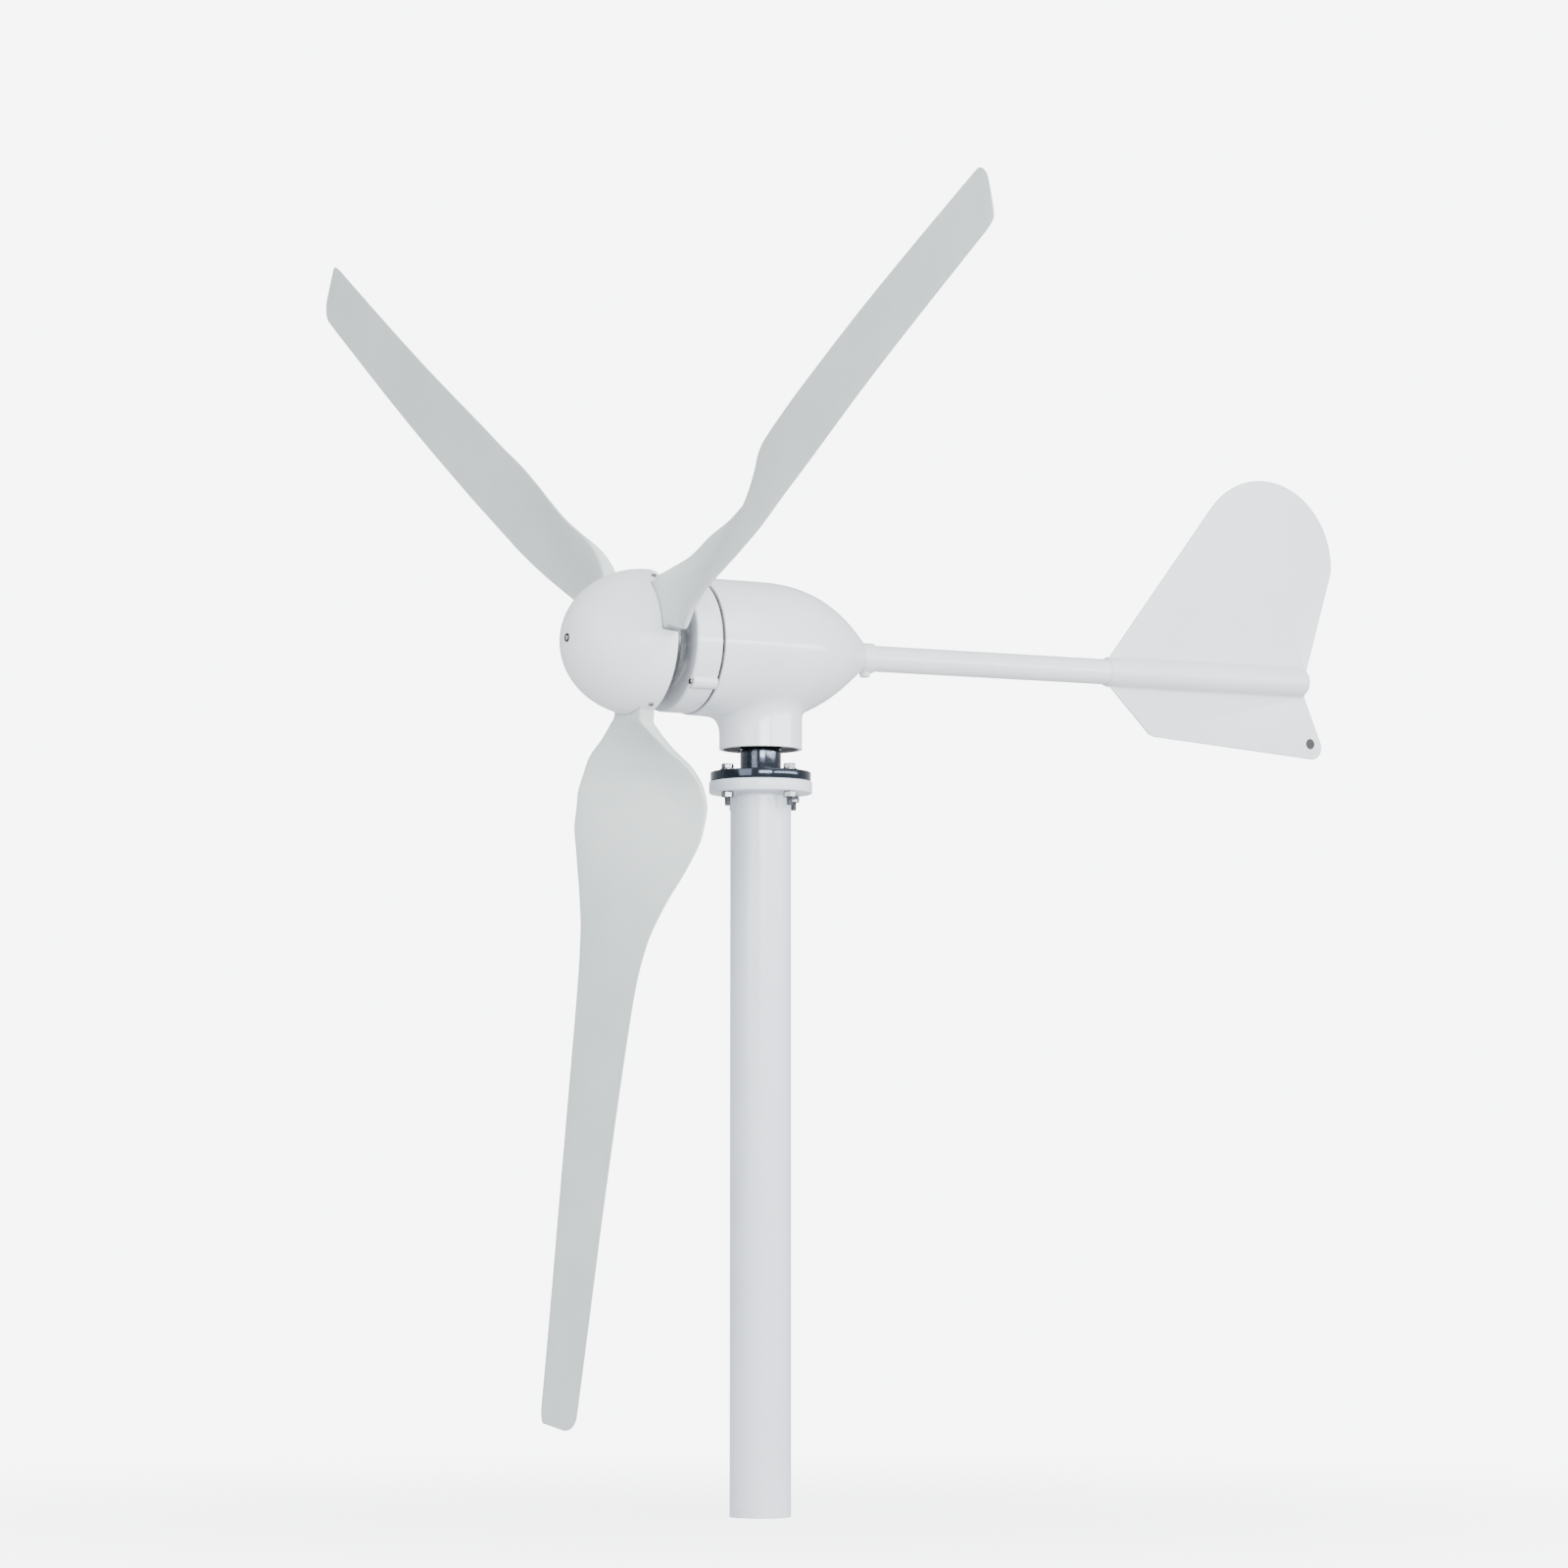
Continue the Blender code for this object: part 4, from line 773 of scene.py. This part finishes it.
def build_cover():
    """Cover ring drawn as rows and columns, so that its three screw lugs rise out of the band."""
    back, edge, lug_half, lug_high = SEAM_Y - 0.0030, 0.0026, 0.0060, 0.0048
    lug_front = COVER_FRONT_Y + 0.0012
    angles = {round(math.tau * k / 144, 5) for k in range(144)}
    half_lug = (0, 0.0014, 0.0028, 0.0038, 0.0046, 0.0052, 0.0056, 0.00585, 0.006, 0.0063, 0.0067, 0.0074,
                0.0084)
    for centre in LUG_ANGLES:
        angles = {a for a in angles if abs((a - centre + math.pi) % math.tau - math.pi) > 0.135}
        angles |= {round((centre + side * offset / COVER_R) % math.tau, 5)
                   for offset in half_lug for side in (-1, 1)}
    angles = sorted(angles)
    band = [(COVER_R, lug_front + 0.0004 + (back - lug_front - 0.0004) * k / 6, 1) for k in range(7)]
    rounded = [(r, y, 0) for r, y in arc((COVER_R - edge, COVER_FRONT_Y + edge), edge, -90, -22, 5)]
    profile = [(0.0135, COVER_FRONT_Y, 0), (0.030, COVER_FRONT_Y, 0), (0.031, COVER_FRONT_Y + 0.0006, 0),
               (0.045, COVER_FRONT_Y + 0.0006, 0), (0.046, COVER_FRONT_Y, 0), *rounded,
               (COVER_R, lug_front, 0.85), *band, (0.0636, back, 0), (0.0636, -0.0500, 0),
               (0.0603, -0.0500, 0), (0.0603, -0.1045, 0),
               (0.0240, -0.1045, 0), (0.0240, -0.0920, 0), (0.0178, -0.0920, 0), (0.0178, -0.1033, 0),
               (0.0135, -0.1033, 0)]
    loops = []
    for radius, y, share in profile:
        loop = []
        for angle in angles:
            off = min(abs((angle - centre + math.pi) % math.tau - math.pi) for centre in LUG_ANGLES) * COVER_R
            rise = lug_high * math.sqrt(max(0.0, 1 - (off / lug_half) ** 2.4))
            loop.append((*polar(radius + rise * share, angle), y))
        loops.append(loop)
    bm = lofted(loops + [loops[0]], cap=False)
    bmesh.ops.remove_doubles(bm, verts=bm.verts, dist=0.000001)
    cover = as_object("front_cover_fine", bm, LAID_DOWN)
    bevelled(cover, 0.0004, 2, 50)
    dress(cover, "casting", "head", ["front_cover"], 50)
    ring_piece("seam_gasket", [(0.0637, back + 0.0001), (0.0648, back + 0.0001), (0.0648, SEAM_Y + 0.0004),
                               (0.0637, SEAM_Y + 0.0004)], 144, LAID_DOWN, "rubber", "head")
    head_low = lug_front - 0.0021
    fastener_ring("cover_screws", socket_screw(head_low, head_low + 0.0020, 0.0027, 0.0011, -0.070, 0.0013),
                  IN_PLACE, LAID_DOWN, "zinc", "head", [f"front_cover_screw_{k}" for k in (1, 2, 3)],
                  Count=3, Pitch_Radius=COVER_SCREW_R, Start_Angle=LUG_ANGLES[0])


# ---- tail
VANE_THICK, RIDGE_R, BOOM_R = 0.0030, 0.0152, 0.0131
BOOM_END = 0.6600


def build_vane():
    """Plate with a rounded fin and a small lower fin, united with the ridge that grips the boom."""
    fin = arc((0.6180, 0.1260), 0.0865, 139, -4, 48)
    tip = arc((0.6740, -0.0682), 0.0130, 24, -85, 14)
    outline = [(0.416, 0.0140), *fin, (0.6700, 0.0150), (0.6660, -0.0160), *tip, (0.472, -0.0652),
               (0.4655, -0.0630), (0.416, -0.0140)]
    bm = bmesh.new()
    half = VANE_THICK / 2
    sides = [[bm.verts.new((x, -z, y - TAIL_START_Y)) for y, z in outline] for x in (-half, half)]
    bridge(bm, *sides)
    for side in sides:
        bm.faces.new(side)
    plate = as_object("tail_vane_fine", bm, TAIL_LINE)
    bevelled(plate, 0.0011, 3, 40)
    settle(plate)
    boolean(plate, as_object("ridge", ridge_shape(), TAIL_LINE), "UNION")
    grip, grip_end = BOOM_R + 0.0002, BOOM_END - TAIL_START_Y + 0.0005
    pocket = turned([(0, 0.30), (grip, 0.30), (grip, grip_end), (0, grip_end)], 64)
    boolean(plate, as_object("pocket", pocket, TAIL_LINE), "DIFFERENCE")
    dress(plate, "vane", "head", ["tail_vane"], 32)
    place = (TAIL_LINE @ Matrix.Translation((0, 0.0650, 0.6715 - TAIL_START_Y))
             @ Matrix.Rotation(math.pi / 2, 4, "Y"))
    plug_r, edge = 0.0052, 0.0006
    plug = turned([(0, -half), *arc((plug_r, -half + 0.0001), edge, -90, 0, 3), (plug_r + edge, 0),
                   *arc((plug_r, half - 0.0001), edge, 0, 90, 3), (0, half)], 40)
    dress(as_object("vane_tip_plug", plug, place), "rubber", "head", sharp=30)
    for name, side in (("near", 1), ("far", -1)):
        foot, crest = side * (half - 0.0003), side * (half + 0.0005)
        ring_piece(f"vane_eyelet_{name}", [(0.0054, foot), (0.0057, crest), (0.0078, crest), (0.0084, foot)],
                   48, place, "vane", "head", sharp=30)


def ridge_shape():
    """The half-round ridge over the boom, with hollow fillets into the plate and a domed end."""
    first, last, foot = 0.4120 - TAIL_START_Y, 0.6655 - TAIL_START_Y, VANE_THICK / 2 - 0.0004
    stations = [(first, 0.90, 0.0006), (first + 0.0005, 0.94, 0.0007), (first + 0.0016, 0.97, 0.0009)]
    stations += [(first + 0.002 + 0.014 * part, 0.97 + 0.03 * part, 0.001 + 0.0036 * part * part)
                 for part in (0.25, 0.5, 0.75, 1.0)]
    stations += [(first + 0.016 + (last - first - 0.0235) * k / 12, 1.0, 0.0046) for k in range(1, 12)]
    stations += [(last - 0.0075, 1.0, 0.0046), (last - 0.0035, 0.97, 0.0040), (last - 0.0012, 0.88, 0.0030),
                 (last, 0.70, 0.0020)]
    return lofted([[(x * scale, -z * scale, height) for x, z in ridge_section(flare, foot)]
                   for height, scale, flare in stations])


def ridge_section(flare, foot):
    """Outline across the ridge: a round on each side of the plate, eased into it by hollow fillets."""
    section = []
    for side in (1, -1):
        lift = math.degrees(math.asin((foot + flare) / (RIDGE_R + flare)))
        centre_z = math.sqrt((RIDGE_R + flare) ** 2 - (foot + flare) ** 2)
        fillet_top = arc((foot + flare, centre_z), flare, 180, 270 - lift, 6)
        dome = arc((0, 0), RIDGE_R, 90 - lift, lift - 90, 26)[1:-1]
        fillet_low = arc((foot + flare, -centre_z), flare, 90 + lift, 180, 6)
        half = fillet_top + dome + fillet_low
        section += half if side == 1 else [(-x, z) for x, z in reversed(half)]
    return section


def build_boom():
    """Boom tube, the socket ring that holds it, and the set screw in its boss."""
    end, wall = BOOM_END - TAIL_START_Y, 0.002
    tube = [(BOOM_R - wall, 0.0), *((BOOM_R, end * k / 12) for k in range(13)), (BOOM_R - wall, end)]
    ring_piece("tail_boom_fine", tube, 96, TAIL_LINE, "casting", "head", ["tail_boom"])
    front, back = HOUSING_END_Y - TAIL_START_Y + 0.0006, 0.129 - TAIL_START_Y
    bore = BOOM_R + 0.0002
    ring = [(bore, front), *arc((0.0144, front + 0.0008), 0.0008, -90, 0, 3), (0.0152, front + 0.0050),
            *arc((0.0138, back - 0.0014), 0.0014, 0, 90, 4), (bore, back)]
    ring_piece("tail_socket_fine", ring, 96, TAIL_LINE, "casting", "head", ["tail_socket"])
    at = TAIL_LINE @ Matrix.Translation((0, 0, 0.1205 - TAIL_START_Y)) @ Matrix.Rotation(-math.pi / 2, 4, "X")
    boss = [(0.0029, 0.0138), (0.0062, 0.0138), (0.0056, 0.0152), (0.0052, 0.0182), (0.0044, 0.0192),
            (0.0029, 0.0192)]
    ring_piece("set_screw_boss", boss, 40, at, "casting", "head")
    screw = socket_screw(-0.0196, -0.0172, 0.0026, 0.0024, -BOOM_R - 0.0004, 0.0013)
    dress(as_object("set_screw_fine", screw, at @ TURNED_OVER), "zinc", "head", ["boom_set_screw"], 25)


# ---- rotor
# Radius, chord, pitch in degrees, middle of the chord along the motion and upwind, thickness
STATIONS = (
    (0.082, 0.0620, 8.0, -0.0060, 0.0020, 0.0172),
    (0.098, 0.0830, 21.0, -0.0040, -0.0025, 0.0160),
    (0.117, 0.1170, 29.5, -0.0090, -0.0060, 0.0145),
    (0.136, 0.1330, 34.0, -0.0130, -0.0085, 0.0132),
    (0.155, 0.1410, 35.5, -0.0160, -0.0080, 0.0122),
    (0.180, 0.1410, 34.0, -0.0185, -0.0050, 0.0113),
    (0.213, 0.1290, 29.0, -0.0205, 0.0005, 0.0105),
    (0.250, 0.1110, 21.0, -0.0210, 0.0080, 0.0098),
    (0.289, 0.0970, 14.0, -0.0215, 0.0140, 0.0092),
    (0.330, 0.0895, 11.0, -0.0235, 0.0185, 0.0086),
    (0.380, 0.0860, 9.3, -0.0265, 0.0225, 0.0080),
    (0.532, 0.0760, 7.2, -0.0355, 0.0330, 0.0066),
    (0.700, 0.0665, 5.5, -0.0430, 0.0420, 0.0050),
    (0.757, 0.0635, 5.0, -0.0450, 0.0450, 0.0044),
)
TIP_RADIUS, BLADE_SIDES = 0.7655, 72


def station_at(radius):
    """Blade station at any radius, by a smooth curve through the design stations."""
    rows = np.array([(FOOT_IN, FOOT_WIDTH, 0.0, FOOT_U, FOOT_W, FOOT_THICK),
                     (FOOT_END, FOOT_WIDTH, 0.0, FOOT_U, FOOT_W, FOOT_THICK), *STATIONS])
    spots, values = rows[:, 0], rows[:, 1:]
    slopes = np.diff(values, axis=0) / np.diff(spots)[:, None]
    tangents = np.zeros_like(values)
    same = (slopes[1:] * slopes[:-1]) > 0
    total = np.where(same, slopes[1:] + slopes[:-1], 1)
    tangents[1:-1] = np.where(same, 2 * slopes[1:] * slopes[:-1] / total, 0)
    tangents[-1] = slopes[-1]
    k = min(max(int(np.searchsorted(spots, radius)) - 1, 0), len(spots) - 2)
    gap = spots[k + 1] - spots[k]
    t = (radius - spots[k]) / gap
    return (values[k] * (1 + 2 * t) * (1 - t) ** 2 + tangents[k] * gap * t * (1 - t) ** 2
            + values[k + 1] * t * t * (3 - 2 * t) + tangents[k + 1] * gap * t * t * (t - 1))


def ease(value, low, high):
    part = min(max((value - low) / (high - low), 0.0), 1.0)
    return part * part * (3 - 2 * part)


def foot_point(angle):
    """Rounded rectangle of unit width and thickness."""
    power = 2.0 / 9.0
    cos, sin = math.cos(angle), math.sin(angle)
    return (-0.5 * math.copysign(abs(cos) ** power, cos), 0.5 * math.copysign(abs(sin) ** power, sin))


def wing_point(angle, tail):
    """Unit-chord section: round nose, flat hollowed front face, full back, tail of a given thickness."""
    chord = 0.5 * (1 + math.cos(angle))
    full = (0.2969 * math.sqrt(chord) - 0.126 * chord - 0.3516 * chord ** 2 + 0.2843 * chord ** 3
            - 0.1036 * chord ** 4) / 0.10
    half = 0.5 * max(full, 0.0) * (1 - tail * 0.3)
    end = 0.5 * tail * ease(chord, 0.25, 0.95)
    half = max(half, end)
    side = math.sin(angle)
    tail_round = math.sqrt(max(0.0, 1 - max(0.0, (chord - 0.985) / 0.015) ** 2))
    front = half * 0.55 * tail_round if side > 0 else -half * 1.05 * tail_round
    hollow = 0.4 * chord * (1 - chord)
    return (0.5 - chord, front - hollow)


def blade_loops():
    """Sections from the foot to a tip with one tight and one wide corner, and the span each stands at."""
    corner, lead_cut, trail_cut = 0.0180, 0.0060, 0.0230
    spans = [*np.linspace(FOOT_IN, FOOT_END, 8), *np.linspace(0.077, 0.20, 46),
             *np.linspace(0.205, 0.745, 84)]
    spans += [TIP_RADIUS - corner * (1 - math.sin(math.pi / 2 * k / 18)) for k in range(18)]
    loops = []
    for radius in spans:
        chord, pitch, mid_u, mid_w, thick = station_at(min(radius, STATIONS[-1][0]))
        over = max(0.0, (radius - (TIP_RADIUS - corner)) / corner)
        shrink = math.sqrt(max(0.0, 1 - over * over))
        chord -= (lead_cut + trail_cut) * (1 - shrink)
        aside = (trail_cut - lead_cut) * (1 - shrink) / 2
        thick *= 0.35 + 0.65 * shrink
        blend = ease(radius, FOOT_END - 0.002, 0.135)
        tail = 0.85 * (1 - ease(radius, 0.085, 0.215)) + 0.16
        twist = math.radians(pitch)
        loop = []
        for k in range(BLADE_SIDES):
            angle = math.tau * k / BLADE_SIDES
            fa, fb = foot_point(angle)
            wa, wb = wing_point(angle, tail)
            along = (fa * (1 - blend) + wa * blend) * chord + aside
            across = (fb * (1 - blend) + wb * blend) * thick
            u = mid_u + along * math.cos(twist) - across * math.sin(twist)
            w = mid_w + along * math.sin(twist) + across * math.cos(twist)
            loop.append((-u, radius, PLANE_Y - w))
        loops.append(loop)
    return loops, np.array(spans)


def build_blades():
    """Three equal blades, with span coordinates and a mask of the leading edge."""
    loops, spans = blade_loops()
    for k in range(BLADE_COUNT):
        turn = Matrix.Rotation(BLADE_START + math.tau * k / BLADE_COUNT, 4, "Z")
        blade = as_object(f"blade_{k + 1}_fine", lofted(loops), LAID_DOWN @ turn)
        mesh = blade.data
        order = np.arange(len(mesh.vertices))
        section_part = (order % BLADE_SIDES) / BLADE_SIDES
        chord_part = 0.5 * (1 + np.cos(math.tau * section_part))
        radius = spans[order // BLADE_SIDES]
        lead = np.clip(1 - chord_part / 0.05, 0, 1) * np.clip((radius - 0.25) / 0.3, 0, 1)
        mask = mesh.attributes.new("lead", "FLOAT", "POINT")
        mask.data.foreach_set("value", lead.astype(np.float32))
        layer = mesh.uv_layers.new(name="span")
        corners = np.zeros(len(mesh.loops), dtype=np.int32)
        mesh.loops.foreach_get("vertex_index", corners)
        across = np.where(section_part < 0.5, chord_part, -chord_part) * 0.1
        places = np.stack([across[corners], radius[corners]], 1)
        layer.data.foreach_set("uv", places.astype(np.float32).ravel())
        dress(blade, "blade", "rotor", [f"blade_{k + 1}"], 60)


def build_nose():
    rim, tip, radius, wall = -0.1340, -0.2170, 0.0722, 0.0024
    nose = as_object("nose_cone_fine", turned([(0, 0), (0.001, 0.001)], 3))
    notch_centre = BLADE_START + math.pi / 2 + math.atan2(FOOT_U, radius)
    run_tree(nose, NOSE_SHELL, "nose", Radius=radius, Rim=rim, Tip=tip, Notch_Rim=-0.1508, Notch_Half=0.398,
             Notch_Start=notch_centre, Notches=BLADE_COUNT, Columns=420,
             Rows=44)
    bm = bmesh.new()
    bm.from_mesh(nose.data)
    bmesh.ops.recalc_face_normals(bm, faces=bm.faces)
    top = max(bm.faces, key=lambda face: face.calc_center_median().to_2d().length)
    if top.normal.dot(Vector((*top.calc_center_median().to_2d(), 0))) < 0:
        bmesh.ops.reverse_faces(bm, faces=bm.faces)
    bm.to_mesh(nose.data)
    bm.free()
    shell = nose.modifiers.new("wall", "SOLIDIFY")
    shell.thickness, shell.offset = wall, -1
    settle(nose)
    bevelled(nose, 0.0005, 2, 50)
    settle(nose)
    nose.data.transform(LAID_DOWN)
    dress(nose, "nose", "rotor", ["nose_cone"], 50)
    screw = socket_screw(tip - 0.0008, tip + 0.0014, 0.0044, 0.0020, -0.1800, 0.0022)
    dress(as_object("nose_screw_fine", screw, LAID_DOWN), "dark", "rotor", ["nose_screw"], 25)
    head = radius + 0.0010
    outwards = (Matrix.Translation((0, 0, rim - 0.0085)) @ Matrix.Rotation(math.pi / 2, 4, "Y") @ TURNED_OVER)
    fastener_ring("nose_rim_screws", socket_screw(-head, -head + 0.0014, 0.0026, 0.0013, -0.0600, 0.0012),
                  outwards, LAID_DOWN, "zinc", "rotor", [f"nose_rim_screw_{k}" for k in (1, 2, 3)],
                  Count=3, Pitch_Radius=0.0, Start_Angle=BLADE_START + math.pi / 2 - RIM_SCREW_TURN)


def build_hub():
    """Rear plate with its raised boss, and the two rings of bolts that clamp the blades."""
    face = PLANE_Y - FOOT_W + FOOT_THICK / 2 + 0.0003
    back, bore, boss_r, boss_end = face + 0.0080, 0.0078, 0.0125, -0.1100
    plate = [(bore, face), (0.0600, face), (0.0610, face + 0.001), (0.0610, back - 0.001), (0.0600, back),
             (0.050, back), (0.049, back - 0.0012), (0.024, back - 0.0012), (0.022, back), (boss_r, back),
             (boss_r, boss_end - 0.0003), (boss_r - 0.0005, boss_end), (bore, boss_end)]
    ring_piece("hub_rear_plate_fine", plate, 128, LAID_DOWN, "alloy", "rotor", ["hub_rear_plate"])
    low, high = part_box("blade_bolt_1")
    for first, name, radius in ((1, "inner", 0.036), (2, "outer", 0.054)):
        bolt = hex_bolt(-low.y - 0.0046, -low.y, 0.0048, 0.0030, -high.y, 0.0060)
        fastener_ring(f"blade_bolts_{name}", bolt, TURNED_OVER, LAID_DOWN, "zinc", "rotor",
                      [f"blade_bolt_{k}" for k in range(first, 7, 2)], Count=3, Pitch_Radius=radius,
                      Aside=FOOT_U, Start_Angle=BLADE_START + math.pi / 2)


def build_seal_and_shade():
    """Rubber lip seal under the yaw bearing, in the mouth of the neck; its black also stands in as painted
    shade inside the neck's mouth.
    """
    low = SHOULDER_Z
    lip = [(0.0206, low - 0.0004), (0.0216, low - 0.0012), (0.0235, low - 0.0010), (0.0250, low),
           (0.0345, low), (0.0358, low + 0.0004), (0.0358, low + 0.0014), (0.0206, low + 0.0014)]
    ring_piece("yaw_seal_and_shade", lip, 128, IN_PLACE, "rubber", "head")


def finish_inside():
    """Carried-over pieces get their own materials."""
    groups = {
        "ground": ["yaw_bearing_inner", "yaw_bearing_outer", "front_bearing_inner", "front_bearing_outer",
                   "rear_bearing_inner", "rear_bearing_outer", "rotor_shaft"],
        "ball": ["yaw_bearing_balls", "front_bearing_balls", "rear_bearing_balls"],
        "copper": ["stator_winding", "slip_ring_1", "slip_ring_2", "slip_ring_3"],
        "bronze": ["yaw_bush"], "black": ["slip_ring_core", "brush_holder"],
        "carbon": ["brush_1", "brush_2", "brush_3"], "laminations": ["stator_core"],
        "magnet": ["magnet_rotor"], "zinc": ["yaw_nut", "hub_nut"], "alloy": ["hub_front_plate"],
    }
    for finish, names in groups.items():
        for name in names:
            mesh = frame["nodes"][name].data
            mesh.materials.clear()
            mesh.materials.append(FINISH[finish])


# ---- stage, light and camera
def floor_material():
    """Pale floor that is firmest round the mast's foot and thins out into the surroundings."""
    mat, tree, shader = principled("pale_floor")
    clouds = noise(tree, 0.6, 2.0)
    give(tree, shader,
         Base_Color=mix(tree, spread(tree, clouds, 0.3, 0.7), (0.86, 0.865, 0.875), (0.88, 0.885, 0.89)),
         Roughness=spread(tree, clouds, 0.3, 0.7, 0.75, 0.85),
         Alpha=spread(tree, vector(tree, "LENGTH", here(tree)), 0.05, FLOOR_FADE, 0.42, 0.0))
    return mat


def area_light(name, place, aim, size, radiance):
    """Soft panel of a given brightness, not itself in the picture."""
    data = bpy.data.lights.new(name, "AREA")
    data.shape = "RECTANGLE"
    data.size, data.size_y = size
    data.energy = radiance * math.pi * size[0] * size[1]
    lamp = bpy.data.objects.new(name, data)
    bpy.context.scene.collection.objects.link(lamp)
    lamp.location = place
    lamp.rotation_euler = (Vector(aim) - Vector(place)).to_track_quat("-Z", "Y").to_euler()
    lamp.visible_camera = False


def around(azimuth, distance, height):
    """A place round the mast; azimuth in degrees from +X towards +Y."""
    return (*polar(distance, math.radians(azimuth)), height)


FLOOR_FADE = 1.6
BACKGROUND, SURROUND = 7.5, 1.25


def build_stage():
    bm = bmesh.new()
    bmesh.ops.create_circle(bm, cap_ends=True, segments=96, radius=FLOOR_FADE * 1.1)
    floor = as_object("floor", bm)
    floor.data.materials.append(floor_material())
    world = bpy.data.worlds.new("studio")
    world.use_nodes = True
    tree = world.node_tree
    ground = tree.nodes["Background"]
    ground.inputs["Color"].default_value = (0.96, 0.98, 1.0, 1.0)
    seen = tree.nodes.new("ShaderNodeLightPath").outputs["Is Camera Ray"]
    give(tree, ground, Strength=spread(tree, seen, 0.0, 1.0, SURROUND, BACKGROUND))
    bpy.context.scene.world = world
    head = (0, 0, AXIS_HEIGHT)
    area_light("key_softbox", around(12, 3.2, 3.0), head, (2.4, 2.4), 8.5)
    area_light("fill_panel", around(-66, 3.7, 1.5), head, (2.0, 2.0), 6.0)
    area_light("strip_right", around(31, 3.0, 1.10), head, (3.5, 0.20), 30.0)
    area_light("strip_front", around(-19, 3.0, 1.10), head, (1.5, 0.34), 40.0)


def build_camera():
    data = bpy.data.cameras.new("camera")
    data.sensor_width = 36.0
    data.lens = 112.18
    camera = bpy.data.objects.new("camera", data)
    bpy.context.scene.collection.objects.link(camera)
    camera.location = (4.1486, -2.4218, AXIS_HEIGHT - 0.5806)
    ahead = Vector((-0.85746, 0.50609, 0.09297))
    camera.rotation_euler = ahead.to_track_quat("-Z", "Y").to_euler()
    bpy.context.scene.camera = camera


build_camera()
build_stage()
build_mast()
build_yaw_base()
build_flange_bolts()
build_housing()
build_cover()
build_vane()
build_boom()
build_blades()
build_nose()
build_hub()
build_seal_and_shade()
finish_inside()
